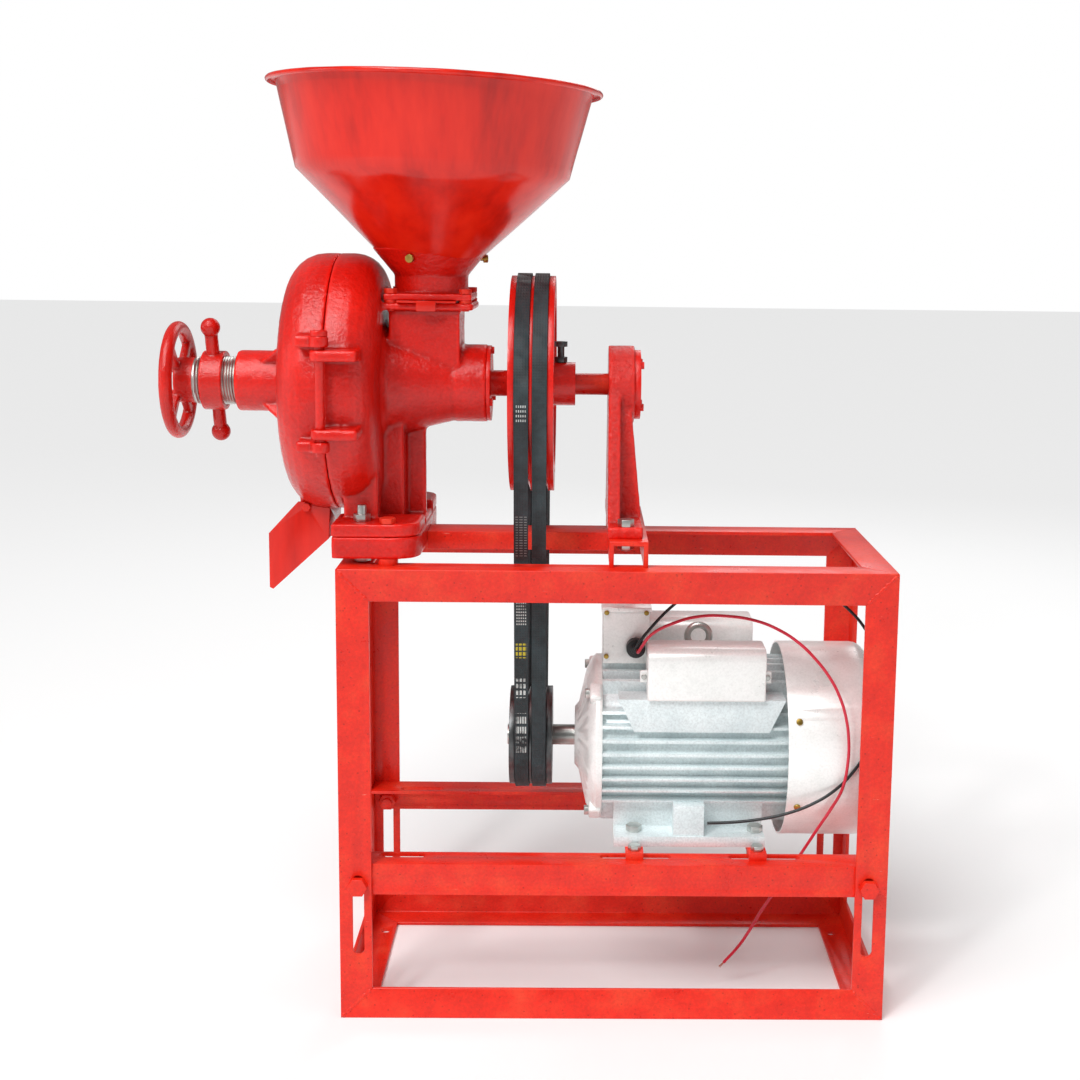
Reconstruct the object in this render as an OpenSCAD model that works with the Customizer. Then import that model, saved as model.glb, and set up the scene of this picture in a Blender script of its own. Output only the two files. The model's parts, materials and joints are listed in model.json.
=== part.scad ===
// Grain mill on a bench frame: a plate (disc) grinding head, hopper and discharge chute, driven by
// two V-belts from a capacitor motor hung inside a welded angle-iron frame. Millimetres, +Z up.
// Origin: centre of the frame's footprint, on the floor. +X points to the motor's fan end.

/* [Frame] */
// Length of the frame over its legs
frame_l = 616; // [560:1:760]
// Depth of the frame over its legs
frame_w = 276; // [272:1:340]
// Height of the frame
frame_h = 520; // [480:1:640]
// Width of each flange of the angle bars
angle_leg = 36; // [30:1:36]
// Thickness of the angle bars
angle_t = 4; // [3:0.5:5]
// Height of the motor rails' top face
rail_z = 182; // [150:1:200]
// Width of the slots in the legs and rails
slot_w = 13; // [12.8:0.1:15]
// Length of the height slots in the legs
leg_slot_l = 94; // [60:1:110]
// Radius of the floor bolt holes
floor_hole_r = 5.5; // [4:0.5:7]

/* [Grinding head] */
// Height of the mill shaft above the floor
shaft_z = 712; // [706:1:760]
// Largest radius of the grinding casing
casing_r = 147; // [140:1:147]
// Wall thickness of the casing
casing_wall = 10; // [7:1:12]
// X position of the joint between casing and door
seam_x = -318; // [-330:1:-312]
// Width of the feed throat
throat_w = 80; // [70:1:86]
// Radius of the grinding plates
plate_r = 112; // [95:1:116]
// Thickness of each grinding plate
plate_t = 12; // [8:1:14]
// Gap between the two grinding plates
plate_gap = 2; // [1:0.5:4]
// Radius of the door's boss
boss_r = 35; // [33:1:42]
// Radius of the adjusting screw
screw_r = 28; // [24:0.5:29]
// Pitch of the adjusting screw's thread
screw_pitch = 3; // [2:0.5:4]

/* [Hopper] */
// Radius of the hopper's rim
hopper_rim_r = 190; // [170:1:220]
// Radius of the hopper where the wall meets the cone
hopper_fold_r = 153; // [130:1:160]
// Radius of the hopper's outlet
hopper_out_r = 50; // [44:1:52]
// Height of the hopper's upper wall
hopper_wall_h = 101; // [70:1:130]
// Height of the hopper's cone
hopper_cone_h = 99; // [80:1:120]
// Thickness of the hopper sheet
sheet_t = 2; // [1.5:0.5:3]

/* [Drive] */
// Radius over the belts on the large pulley
big_belt_r = 127; // [110:1:128]
// Radius over the belts on the motor pulley
small_belt_r = 61; // [50:1:66]
// Distance between the two belts
belt_pitch = 20; // [19.5:0.5:23]
// Top width of each belt
belt_w = 16; // [13:0.5:17]
// Height of each belt
belt_h = 10; // [8:1:11]
// Radius of the mill shaft in the casing
shaft_r = 15; // [14:0.5:16]
// Radius of the mill shaft at the pedestal
shaft_end_r = 12.5; // [11:0.5:13]
// Radius of the motor shaft
motor_shaft_r = 12; // [11:0.5:13]

/* [Motor] */
// Height of the motor shaft above the motor's feet
motor_h = 100; // [100:1:112]
// Distance between the motor's foot holes along the shaft
foot_b = 140; // [125:1:150]
// Distance between the motor's foot holes across the shaft
foot_a = 160; // [150:1:170]
// Radius over the cooling fins
fin_r = 98; // [92:1:98]
// Radius of the fan cover
fan_cover_r = 114; // [108:1:115]

/* [Hidden] */

red = "#c8201c";
steel = "#b9bcbd";
dark_steel = "#5d6162";
rubber = "#1d2022";
grey = "#c3ccca";
eps = 1;                            // how far a cutter runs past the face it cuts
$fn = 96;

// ---- sizes worked out from the driving dimensions
run = 0.05;                         // radial running clearance
fit = 0.02;                         // radial clearance of a seated fit
left_x = -308;                      // left end of the frame, under the grinding head
right_x = left_x + frame_l;
half_w = frame_w / 2;
slot_inset = 21;                    // leg slot centre from the leg's outer edge
rail_bolt_z = rail_z - 24;
leg_slot_z = rail_bolt_z - leg_slot_l / 2 + 12;
rail_slot_y = half_w - 30;          // centre line of the motor rails' slots
rail_slots = [[-240, 54], [25, 82], [172, 82]];
bolt_r = 6;                         // M12 shank
hole_r = 6.4;                       // clearance hole for M12

bar_t = 8.5;                        // motor cross bar
bar_w = 20;
bar_hole_r = 5.3;                   // clearance hole for M10
m10_r = 5;
foot_x = [23.5, 23.5 + foot_b];
foot_z = rail_z + bar_t;
motor_z = foot_z + motor_h;

bed_x0 = -315;                      // mill bed plate
bed_x1 = -219;
bed_y = half_w - 20;
bed_gap = 7;
bed_z = frame_h + bed_gap;
bed_t = 24;
foot_t = 15;
mill_foot_z = bed_z + bed_t;
beam_x = 12;                        // centre of the pedestal's beam
beam_w = 43;
beam_h = 29;
frame_bolt_x = -254;
frame_bolt_y = half_w - 29;
mill_bolt_x = -284;
mill_bolt_y = half_w - 42;

casing_in_r = casing_r - casing_wall;
body_back_x = -267;
cone_end_x = -185;
housing_end_x = -150;
housing_r = 44.6;
cone_r = 62;
auger_r = 30;
bearing_or = 31;                    // 62 mm bearing at the casing
bearing_w = 16;
ped_bearing_or = 26;                // 52 mm bearing at the pedestal
ped_bearing_w = 15;
feed_x = -215;                      // centre line of hopper and throat
throat_x = -220;
throat_top_z = shaft_z + 93;
throat_flange_t = 8;
gate_gap = 3.4;
gate_t = 2.6;
neck_z = throat_top_z + gate_gap;
neck_flange_t = 7;
neck_r = 42;
neck_wall = 6;
neck_h = 58;
hopper_z = neck_z + neck_h - 15;    // the cone's end is held inside the neck's flare
cone_slope = (hopper_fold_r - hopper_out_r) / hopper_cone_h;
neck_top_r = hopper_out_r + 15 * cone_slope + 1.8;
hopper_screw_z = neck_z + neck_h - 12;
hopper_screw_a = [133, 253, 13];    // directions of the screws, from +X
fold_z = hopper_z + hopper_cone_h;
rim_z = fold_z + hopper_wall_h;
hopper_top_r = hopper_rim_r - 15;

pin_x = seam_x;
pin_y = -(casing_r + 13);
pin_r = 5;
lug_r = 10;
door_lugs_z = [shaft_z + 50, shaft_z - 62];
body_lugs_z = [shaft_z + 35.5, shaft_z - 48];
lug_h = 12;
clasp_y = casing_r + 13;
clasp_z = [45, -45];

rot_plate_x = seam_x - 2;           // left face of the rotating plate
stat_plate_x = rot_plate_x - plate_gap;
door_face_x = -374;
boss_end_x = -437;
thread_end_x = -398;
stem_r = 24;
screw_end_x = -486;
wheel_x = -507;
wheel_r = 60;
wheel_tube_r = 7.5;
nut_x0 = -477;
nut_x1 = -452;
nut_r = 34;
arm_reach = 65;
arm_ball_r = 11;
nut_turn = -18;

pulley_x = -97.5;                   // middle of both pulleys
pulley_w = 50;
rim_drop = 3;                       // belts stand proud of the rims by this much
groove_gap = 0.4;
hub_r = 25;
hub_end_x = -49;
pulley_bore_r = 14;
belt_drop = shaft_z - motor_z;
wrap = asin((big_belt_r - small_belt_r) / belt_drop);
belt_run = sqrt(pow(belt_drop, 2) - pow(big_belt_r - small_belt_r, 2));

ped_x0 = -11;
ped_x1 = 19;
ped_foot_t = 13;
ped_foot_x1 = 28;
ped_foot_z = frame_h + beam_h;
ped_y = half_w - 36;
ped_bolt_y = half_w - 46;
ped_boss_r = 45;
cap_t = 7;

housing_x0 = -14;
housing_x1 = 212;
housing_in_r = 80;
foot_edge = foot_a / 2 + 20;
tube_r = 86;
shield_x = -46;
motor_bearing_or = 26;
motor_bearing_w = 15;
rotor_r = 52;
air_gap = 0.6;
fan_x = 232;
cover_x0 = 196;
cover_x1 = 300;
cover_t = 2;
cap_x0 = 36;                        // capacitor covers
cap_l = 134;
cap_y = 72;
cap_z = motor_z + 102;
cap_h = 60;
cap_d = 58;
box_x0 = -14;                       // terminal box
box_l = 54;
box_d = 78;
box_z0 = motor_z + fin_r + 1;
box_h = 67;
gland_x = 24;
gland_z = motor_z + 119.5;
gland_l = 14;
gland_r = 11;
lead_r = 1.75;

// leads, from the gland to their free ends
red_route = [[26, -53, 409], [26, -62, 409], [30, -73, 419], [40, -84, 436], [66, -92, 452],
             [92, -95, 460], [124, -100, 462], [157, -106, 458], [182, -112, 449],
             [203, -117, 436], [221, -120, 419], [237, -122, 399], [249, -123, 377],
             [257, -123, 353], [261, -123, 328], [261, -124, 302], [256, -123, 270],
             [246, -112, 242], [233, -103, 215], [220, -92, 186], [205, -87, 158],
             [189, -84, 131], [174, -80, 105], [162, -76, 80], [149, -71, 56], [133, -66, 34]];
black_route = [[23, -53, 413.5], [23, -60, 413.5], [27, -66, 422], [42, -68, 442], [64, -67, 465],
               [92, -66, 486], [125, -64, 499], [162, -64, 504], [200, -65, 499],
               [234, -68, 486], [262, -74, 467], [284, -85, 442], [296, -99, 411],
               [298, -112, 376], [294, -116, 343], [284, -117, 314], [269, -117, 288],
               [249, -117, 266], [225, -117, 250], [197, -116, 238], [166, -112, 229],
               [135, -109, 224], [106, -107, 222]];

function arc(cx, cy, r, a0, a1, n) =
    [for (i = [0:n]) [cx + r * cos(a0 + (a1 - a0) * i / n), cy + r * sin(a0 + (a1 - a0) * i / n)]];

// ---- helpers: solids along or around the X direction
module along_x(x, y, z) {
    translate([x, y, z]) rotate([90, 0, 90]) children();
}
module rod(x0, x1, r, y = 0, z = 0) {
    along_x(x0, y, z) cylinder(h = x1 - x0, r = r);
}
module ring(x0, x1, ro, ri, z) {
    along_x(x0, 0, z) difference() {
        cylinder(h = x1 - x0, r = ro);
        translate([0, 0, -eps]) cylinder(h = x1 - x0 + 2 * eps, r = ri);
    }
}
module turned(points, z) {
    along_x(0, 0, z) rotate_extrude() polygon(points);
}
module post(x, y, z0, z1, r) {
    translate([x, y, z0]) cylinder(h = z1 - z0, r = r);
}
module hexagon(x, y, z0, z1, r) {
    translate([x, y, z0]) cylinder(h = z1 - z0, r = r, $fn = 6);
}
module block(x0, x1, y0, y1, z0, z1) {
    translate([x0, y0, z0]) cube([x1 - x0, y1 - y0, z1 - z0]);
}
module slot(length, width, depth) {
    for (s = [-1, 1]) translate([s * (length - width) / 2, 0, 0]) cylinder(h = depth, r = width / 2);
    translate([-(length - width) / 2, -width / 2, 0]) cube([length - width, width, depth]);
}

// ---- frame
// One bar of an angle-iron box, mitred at both ends. It runs along +X from the box's corner at the
// origin, with one flange in the plane Y = 0 and one in the plane Z = 0, both inside the box.
module mitred_angle(length) {
    reach = angle_leg + eps;
    difference() {
        union() {
            cube([length, angle_leg, angle_t]);
            cube([length, angle_t, angle_leg]);
        }
        for (flip = [0, 1]) translate([flip * length, 0, 0]) mirror([flip, 0, 0]) {
            translate([0, 0, -eps]) linear_extrude(reach + eps)
                polygon([[-eps, -eps], [reach, reach], [-eps, reach]]);
            translate([0, reach, 0]) rotate([90, 0, 0]) linear_extrude(reach + eps)
                polygon([[-eps, -eps], [reach, reach], [-eps, reach]]);
        }
    }
}
module at_corner(right, back, top) {
    translate([right ? right_x : left_x, back ? half_w : -half_w, top ? frame_h : 0])
        mirror([right ? 1 : 0, 0, 0]) mirror([0, back ? 1 : 0, 0]) mirror([0, 0, top ? 1 : 0])
            children();
}
module side_to_side() {             // turns a bar to run along Y, keeping it inside the box
    mirror([1, -1, 0]) children();
}
module upright() {                  // turns a bar to run along Z, keeping it inside the box
    mirror([1, 0, -1]) children();
}
module floor_holes() {
    for (x = [left_x + 24, right_x - 24]) for (y = [-1, 1])
        post(x, y * (half_w - 60), -eps, angle_t + eps, floor_hole_r);
}
module top_holes() {
    for (y = [-1, 1]) post(frame_bolt_x, y * frame_bolt_y, frame_h - 2 * angle_t, frame_h + eps, bar_hole_r);
}
module leg(right, back) {
    y0 = back ? half_w - angle_t - eps : -half_w - eps;
    color(red) difference() {
        at_corner(right, back, false) upright() mitred_angle(frame_h);
        translate([right ? right_x - slot_inset : left_x + slot_inset, y0, leg_slot_z])
            rotate([-90, -90, 0]) slot(leg_slot_l, slot_w, angle_t + 2 * eps);
    }
}
module long_rail(back, top) {
    color(red) difference() {
        at_corner(false, back, top) mitred_angle(frame_l);
        if (top) top_holes();
    }
}
module short_rail(right, top) {
    color(red) difference() {
        at_corner(right, false, top) side_to_side() mitred_angle(frame_w);
        if (!top) floor_holes();
    }
}
module motor_rail(side) {           // side -1 is the front rail, 1 the back rail
    y_out = side * (half_w - angle_t);
    length = frame_l - 2 * angle_t - 1;
    color(red) difference() {
        translate([(left_x + right_x - length) / 2, y_out, rail_z]) mirror([0, side > 0 ? 1 : 0, 0]) mirror([0, 0, 1]) {
            cube([length, angle_leg, angle_t]);
            cube([length, angle_t, angle_leg]);
        }
        for (s = rail_slots) translate([s[0], side * rail_slot_y, rail_z - angle_t - eps])
            slot(s[1], slot_w - 2, angle_t + 2 * eps);
        for (x = [left_x + slot_inset, right_x - slot_inset])
            translate([x, y_out, rail_bolt_z]) rotate([90, 0, 0])
                cylinder(h = 4 * angle_t, r = hole_r, center = true);
    }
}
// Bolt with a hexagonal head and nut, along Z from its head's seat down to its nut's seat
module hex_bolt(r, grip, head_h, nut_h, tail) {
    cylinder(h = head_h, r = 1.85 * r, $fn = 6);
    translate([0, 0, -grip - nut_h - tail]) cylinder(h = grip + nut_h + tail + eps, r = r);
    if (nut_h > 0) translate([0, 0, -grip - nut_h]) cylinder(h = nut_h, r = 1.85 * r, $fn = 6);
}
module rail_bolts() {
    color(red) for (x = [left_x + slot_inset, right_x - slot_inset]) for (y = [-1, 1])
        translate([x, y * half_w, rail_bolt_z]) rotate([-90 * y, 0, 0])
            hex_bolt(bolt_r, 2 * angle_t, 8, 9, 4);
}
module motor_cross_bars() {
    reach = rail_slot_y + 12;
    color(red) for (x = foot_x) difference() {
        block(x - bar_w / 2, x + bar_w / 2, -reach, reach, rail_z, foot_z);
        for (s = [-1, 1]) {
            post(x, s * rail_slot_y, rail_z - eps, foot_z + eps, 4.4);
            post(x, s * foot_a / 2, rail_z - eps, foot_z + eps, bar_hole_r);
        }
    }
}
module motor_bolts() {
    for (x = foot_x) for (s = [-1, 1]) {
        color(red) translate([x, s * rail_slot_y, foot_z]) hex_bolt(4, bar_t + angle_t, 6, 6, 3);
        color(steel) translate([x, s * foot_a / 2, foot_z + 12]) hex_bolt(m10_r, 12 + bar_t, 7, 8, 3);
    }
}

// ---- mill bed and pedestal beam
module mill_bed_plate() {
    color(red) difference() {
        translate([0, 0, bed_z]) linear_extrude(bed_t) bed_outline();
        for (s = [-1, 1]) {
            post(frame_bolt_x, s * frame_bolt_y, bed_z - eps, mill_foot_z + eps, bar_hole_r);
            post(mill_bolt_x, s * mill_bolt_y, bed_z - eps, mill_foot_z + eps, bar_hole_r);
        }
    }
}
module bed_outline() {              // rounded at the pulley side's two corners
    r = 26;
    polygon(concat([[bed_x0, -bed_y]], arc(bed_x1 - r, -bed_y + r, r, -90, 0, 6),
                   arc(bed_x1 - r, bed_y - r, r, 0, 90, 6), [[bed_x0, bed_y]]));
}
module bed_beams() {
    wall = 5;
    color(red) {
        difference() {
            block(beam_x - beam_w / 2, beam_x + beam_w / 2, -bed_y, bed_y, frame_h, ped_foot_z);
            block(beam_x - beam_w / 2 + wall, beam_x + beam_w / 2 - wall, -bed_y - eps, bed_y + eps,
                  frame_h - eps, ped_foot_z - wall);
            for (s = [-1, 1]) post(9, s * ped_bolt_y, frame_h - eps, ped_foot_z + eps, bar_hole_r);
        }
        difference() {
            block(bed_x1, beam_x - beam_w / 2, -22, 22, bed_z - 7, bed_z + 14);
            block(bed_x1 - eps, beam_x - beam_w / 2 + eps, -22 + wall, 22 - wall, bed_z - 7 - eps,
                  bed_z + 14 - wall);
        }
    }
}
module mill_foot_bolts() {          // studs with nuts, through the casing's feet and the bed plate
    color(steel) for (s = [-1, 1]) {
        post(mill_bolt_x, s * mill_bolt_y, bed_z - 6.5, mill_foot_z + foot_t + 18, m10_r);
        hexagon(mill_bolt_x, s * mill_bolt_y, mill_foot_z + foot_t, mill_foot_z + foot_t + 8, 9.5);
        hexagon(mill_bolt_x, s * mill_bolt_y, bed_z - 6, bed_z, 9.5);
    }
}
module mill_frame_bolts() {         // bolts down to the frame's top rails, with spacers in the gap
    grip = foot_t + bed_t + bed_gap + angle_t;
    for (s = [-1, 1]) {
        color(red) translate([frame_bolt_x, s * frame_bolt_y, mill_foot_z + foot_t])
            hex_bolt(m10_r, grip, 6, 8, 3);
        color(dark_steel) translate([frame_bolt_x, s * frame_bolt_y, frame_h]) difference() {
            cylinder(h = bed_gap, r = 11);
            translate([0, 0, -eps]) cylinder(h = bed_gap + 2 * eps, r = bar_hole_r);
        }
    }
}

// ---- grinding head
module lug(z, x0, x1, y1) {         // flat hinge ear with a round end about the pin
    block(x0, x1, pin_y, y1, z, z + lug_h);
    post(pin_x, pin_y, z, z + lug_h, lug_r);
}
module mill_body() {
    wall = casing_wall;
    shoulder = 34;
    outer = concat([[0, seam_x], [casing_r, seam_x], [casing_r, body_back_x - shoulder]],
                   arc(casing_r - shoulder, body_back_x - shoulder, shoulder, 0, 90, 6),
                   [[cone_r + 8, body_back_x], [cone_r, body_back_x + 6], [housing_r - 1, cone_end_x - 3],
                    [housing_r, cone_end_x], [housing_r, housing_end_x], [0, housing_end_x]]);
    inner = [[0, seam_x - eps], [casing_in_r, seam_x - eps], [casing_in_r, body_back_x - shoulder],
             [casing_in_r - 16, body_back_x - wall], [auger_r + 14, body_back_x - wall],
             [auger_r + 1, body_back_x + 12], [auger_r + 1, cone_end_x - 12],
             [shaft_r + 1, cone_end_x - 12], [shaft_r + 1, cone_end_x + 8], [0, cone_end_x + 8]];
    hole = throat_w - 16;
    color(red) difference() {
        union() {
            turned(outer, shaft_z);
            // feed throat and its flange
            block(throat_x - throat_w / 2, throat_x + throat_w / 2, -throat_w / 2, throat_w / 2,
                  shaft_z, throat_top_z);
            block(feed_x - 52, feed_x + 51, -50, 50, throat_top_z - throat_flange_t, throat_top_z);
            // two feet, joined to the casing by flared webs
            for (s = [-1, 1]) {
                intersection() {
                    translate([0, 0, mill_foot_z]) linear_extrude(foot_t) bed_outline();
                    block(bed_x0, bed_x1, s > 0 ? 48 : -bed_y, s > 0 ? bed_y : -48, mill_foot_z,
                          mill_foot_z + foot_t);
                }
                block(-306, -268, s > 0 ? 48 : -86, s > 0 ? 86 : -48, mill_foot_z + foot_t - eps,
                      shaft_z - 60);
            }
            // rear leg web under the cone, standing on the bed plate
            block(body_back_x - 12, -244, -40, 40, mill_foot_z, shaft_z - 20);
            block(-244, -222, -6, 6, mill_foot_z, shaft_z - 45);
            block(-262, bed_x1, -34, 34, mill_foot_z, mill_foot_z + 8);
            // hinge ears at the front, clasp ears at the back
            for (z = body_lugs_z) {
                lug(z, seam_x, -278, -casing_r + 30);
                block(pin_x, -278, pin_y - lug_r, pin_y, z, z + lug_h);
            }
            for (z = clasp_z)
                block(seam_x, seam_x + 14, casing_r - 30, clasp_y + 11, shaft_z + z - 11, shaft_z + z + 11);
        }
        turned(inner, shaft_z);
        rod(cone_end_x + 8 - fit, housing_end_x + eps, bearing_or + fit, 0, shaft_z);
        // hollow of the throat, down to the auger
        block(throat_x - hole / 2, throat_x + hole / 2, -hole / 2 + 6, hole / 2 - 6, shaft_z,
              throat_top_z + eps);
        // outlet through the bottom of the casing
        block(seam_x - eps, seam_x + 14, -34, 34, shaft_z - casing_r - 5, shaft_z - casing_r + 28);
        post(pin_x, pin_y, shaft_z - 80, shaft_z + 80, pin_r + run);
        for (z = clasp_z) rod(seam_x - eps, seam_x + 14 + eps, 5.6, clasp_y, shaft_z + z);
        for (s = [-1, 1]) {
            post(frame_bolt_x, s * frame_bolt_y, mill_foot_z - eps, mill_foot_z + foot_t + eps, bar_hole_r);
            post(mill_bolt_x, s * mill_bolt_y, mill_foot_z - eps, mill_foot_z + foot_t + 30, bar_hole_r);
        }
        for (x = [-1, 1]) for (y = [-1, 1])
            post(feed_x + x * 42, y * 42, throat_top_z - 12, throat_top_z + eps, 4.3);
        for (a = [90, 210, 330]) rod(housing_end_x - 12, housing_end_x + eps, 2.6,
                                     38 * cos(a), shaft_z + 38 * sin(a));
    }
}
module mill_door() {
    wall = casing_wall - 2;
    gap = 0.6;                      // between the closed door and the casing
    x0 = seam_x - gap;
    color(red) difference() {
        union() {
            turned(door_outline(), shaft_z);
            // ribs from the dome to the boss
            for (a = [45, 135, 225, 315]) along_x(0, 0, shaft_z) rotate([0, 0, a])
                translate([0, 3, 0]) rotate([90, 0, 0]) linear_extrude(6)
                    polygon([[boss_r - 3, -410], [boss_r - 3, -366], [76, -366]]);
            for (z = door_lugs_z) lug(z, -344, x0, -casing_r + 26);
            for (z = clasp_z)
                block(x0 - 14, x0, casing_r - 30, clasp_y + 11, shaft_z + z - 11, shaft_z + z + 11);
            // outlet spout under the dome
            block(-362, -330, -42, 42, shaft_z - casing_r - 2, shaft_z - 100);
        }
        turned([[0, x0 + eps], [casing_in_r, x0 + eps], [casing_in_r, -336],
                [casing_in_r - 16, -352], [90, -362], [stem_r + 8, -364], [0, -364]], shaft_z);
        rod(-400, -355, stem_r + run, 0, shaft_z);
        rod(boss_end_x - eps, thread_end_x, screw_r + run, 0, shaft_z);
        block(-354, x0 + eps, -34, 34, shaft_z - casing_r - 4, shaft_z - 100);
        post(pin_x, pin_y, shaft_z - 80, shaft_z + 80, pin_r + run);
        for (z = clasp_z) rod(x0 - 14 - eps, x0 + eps, m10_r + run, clasp_y, shaft_z + z);
        for (s = [-1, 1]) translate([-354, s * 42, shaft_z - casing_r + 7]) rotate([90, 0, 0])
            cylinder(h = 12, r = 3.1, center = true);
    }
}
function door_outline() =
    concat([[0, seam_x - 0.6], [casing_r, seam_x - 0.6], [casing_r, seam_x - 16]],
           [for (a = [15:15:75]) [casing_r - 40 + 40 * cos(a), seam_x - 16 - 40 * sin(a)]],
           [[98, -370], [60, door_face_x + 1], [boss_r + 6, door_face_x], [boss_r, door_face_x - 6],
            [boss_r, boss_end_x], [0, boss_end_x]]);
module hinge_pin() {
    color(red) {
        post(pin_x, pin_y, shaft_z - 66, shaft_z + 66, pin_r);
        post(pin_x, pin_y, shaft_z + 62 + fit, shaft_z + 68, pin_r + 4);
    }
}
module door_bolts() {               // clasp bolts and the chute's two bolts
    color(red) for (z = clasp_z) {
        rod(seam_x - 14.6, seam_x + 12, m10_r, clasp_y, shaft_z + z);
        along_x(seam_x - 21.6, clasp_y, shaft_z + z) cylinder(h = 7, r = 9.2, $fn = 6);
    }
    color(steel) for (s = [-1, 1]) translate([-354, s * 42, shaft_z - casing_r + 7]) rotate([90 * s, 0, 0]) {
        translate([0, 0, -7.4]) cylinder(h = 9.6, r = 3);
        translate([0, 0, -7.4]) cylinder(h = 5, r = 5, $fn = 6);
    }
}
module discharge_chute() {
    side = [[-364, 574], [-398, 537], [-398, 474], [-394, 472], [-330, 531], [-328, 566], [-340, 572]];
    inside = [[-364, 600], [-410, 541], [-410, 466], [-396, 474], [-331.5, 533], [-326, 600]];
    lift = shaft_z - casing_r - 561;
    color(red) translate([0, 0, lift]) difference() {
        translate([0, 44.2, 0]) rotate([90, 0, 0]) linear_extrude(88.4) polygon(side);
        translate([0, 42.2, 0]) rotate([90, 0, 0]) linear_extrude(84.4) polygon(inside);
        for (s = [-1, 1]) translate([-354, s * 42, 568]) rotate([90, 0, 0])
            cylinder(h = 12, r = 3.1, center = true);
        translate([0, 0, -lift]) turned([for (p = door_outline()) [p[0] + 0.5, p[1] - 0.4]], shaft_z);
    }
}

// ---- hopper, neck and gate
module hopper() {
    t = sheet_t;
    lip = 3.6;
    color(red) translate([feed_x, 0, 0]) difference() {
        rotate_extrude() polygon(concat(
            [[hopper_out_r - t, hopper_z], [hopper_out_r, hopper_z], [hopper_fold_r, fold_z],
             [hopper_top_r, rim_z - 6], [hopper_top_r + 3, rim_z - 2]],
            arc(hopper_rim_r - lip, rim_z, lip, -90, 90, 6),
            [[hopper_top_r, rim_z + t], [hopper_top_r - t, rim_z - 4], [hopper_fold_r - t, fold_z + 1]]));
        hopper_screw_holes(2.7);
    }
}
module hopper_screw_holes(r) {
    for (a = hopper_screw_a) rotate([0, 0, a]) translate([neck_r - 10, 0, hopper_screw_z])
        rotate([0, 90, 0]) cylinder(h = 40, r = r);
}
module hopper_neck() {
    w = neck_wall;
    seat = hopper_out_r + 0.2;
    color(red) translate([feed_x, 0, 0]) difference() {
        union() {
            rotate_extrude() polygon([[0, neck_z], [neck_r, neck_z], [neck_r, neck_z + 27],
                                      [neck_top_r, neck_z + neck_h], [0, neck_z + neck_h]]);
            block(-49, 49, -50, 50, neck_z, neck_z + neck_flange_t);
        }
        rotate_extrude() polygon([[0, neck_z - eps], [neck_r - w, neck_z - eps], [neck_r - w, neck_z + 27],
                                  [hopper_out_r - 4, hopper_z - 1], [seat, hopper_z - 1], [seat, hopper_z],
                                  [seat + 16 * cone_slope, neck_z + neck_h + eps],
                                  [0, neck_z + neck_h + eps]]);
        for (x = [-1, 1]) for (y = [-1, 1])
            post(x * 42, y * 42, neck_z - eps, neck_z + neck_flange_t + eps, 4.3);
        hopper_screw_holes(2.7);
        for (a = hopper_screw_a) rotate([0, 0, a]) translate([neck_r + 18, 0, hopper_screw_z])
            rotate([0, 90, 0]) cylinder(h = 20, r = 5.4);
    }
}
module neck_bolts() {               // four bolts with washers that leave the gate's gap open
    for (x = [-1, 1]) for (y = [-1, 1]) translate([feed_x + x * 42, y * 42, 0]) {
        color(red) translate([0, 0, neck_z + neck_flange_t])
            hex_bolt(4, neck_flange_t + gate_gap + throat_flange_t, 5.5, 0, 1);
        color(dark_steel) translate([0, 0, throat_top_z]) difference() {
            cylinder(h = gate_gap, r = 7.5);
            translate([0, 0, -eps]) cylinder(h = gate_gap + 2 * eps, r = 4 + run);
        }
    }
}
module hopper_screws() {
    color(steel) translate([feed_x, 0, 0]) for (a = hopper_screw_a) rotate([0, 0, a]) {
        translate([neck_r + 4, 0, hopper_screw_z]) rotate([0, 90, 0]) cylinder(h = 15, r = 2.5);
        translate([neck_r + 18.1, 0, hopper_screw_z]) rotate([0, 90, 0]) cylinder(h = 5, r = 4.6);
    }
}
module feed_gate() {
    z0 = throat_top_z + (gate_gap - gate_t) / 2;
    color(steel) {
        block(feed_x - 34, feed_x + 32, -58, 44, z0, z0 + gate_t);
        block(feed_x - 12, feed_x + 10, -60.6, -58, z0 - 9, z0 + gate_t);
    }
}

// ---- plate gap adjuster, in the door
module plate_carrier() {
    x1 = stat_plate_x - plate_t;
    color(dark_steel) {
        rod(thread_end_x - 2, x1 - 8, stem_r, 0, shaft_z);
        ring(x1 - 10, x1, min(plate_r - 6, casing_r - 41), stem_r - 4, shaft_z);
        rod(x1 - 10, x1 - 4, stem_r, 0, shaft_z);
    }
}
module grinding_plate(x0, x1, ridge_face) {
    furrows = 24;
    difference() {
        ring(x0, x1, plate_r, 45, shaft_z);
        for (i = [0:furrows - 1]) along_x(ridge_face - 1.5, 0, shaft_z) rotate([0, 0, i * 360 / furrows])
            translate([56, 6, 0]) rotate([0, 0, 12]) cube([plate_r, 4, 3]);
    }
}
module stationary_plate() {
    color(steel) grinding_plate(stat_plate_x - plate_t, stat_plate_x, stat_plate_x);
}
module rotating_plate() {
    color(steel) grinding_plate(rot_plate_x, rot_plate_x + plate_t, rot_plate_x);
}
module adjusting_screw() {
    grooves = 12;
    color(dark_steel) difference() {
        union() {
            rod(screw_end_x, thread_end_x - 2, screw_r, 0, shaft_z);
            rod(screw_end_x - 22, screw_end_x + eps, 11, 0, shaft_z);
        }
        for (i = [0:grooves - 1])
            ring(screw_end_x + 4 + i * screw_pitch, screw_end_x + 5.2 + i * screw_pitch,
                                       screw_r + 2, screw_r - 1.4, shaft_z);
    }
}
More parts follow.
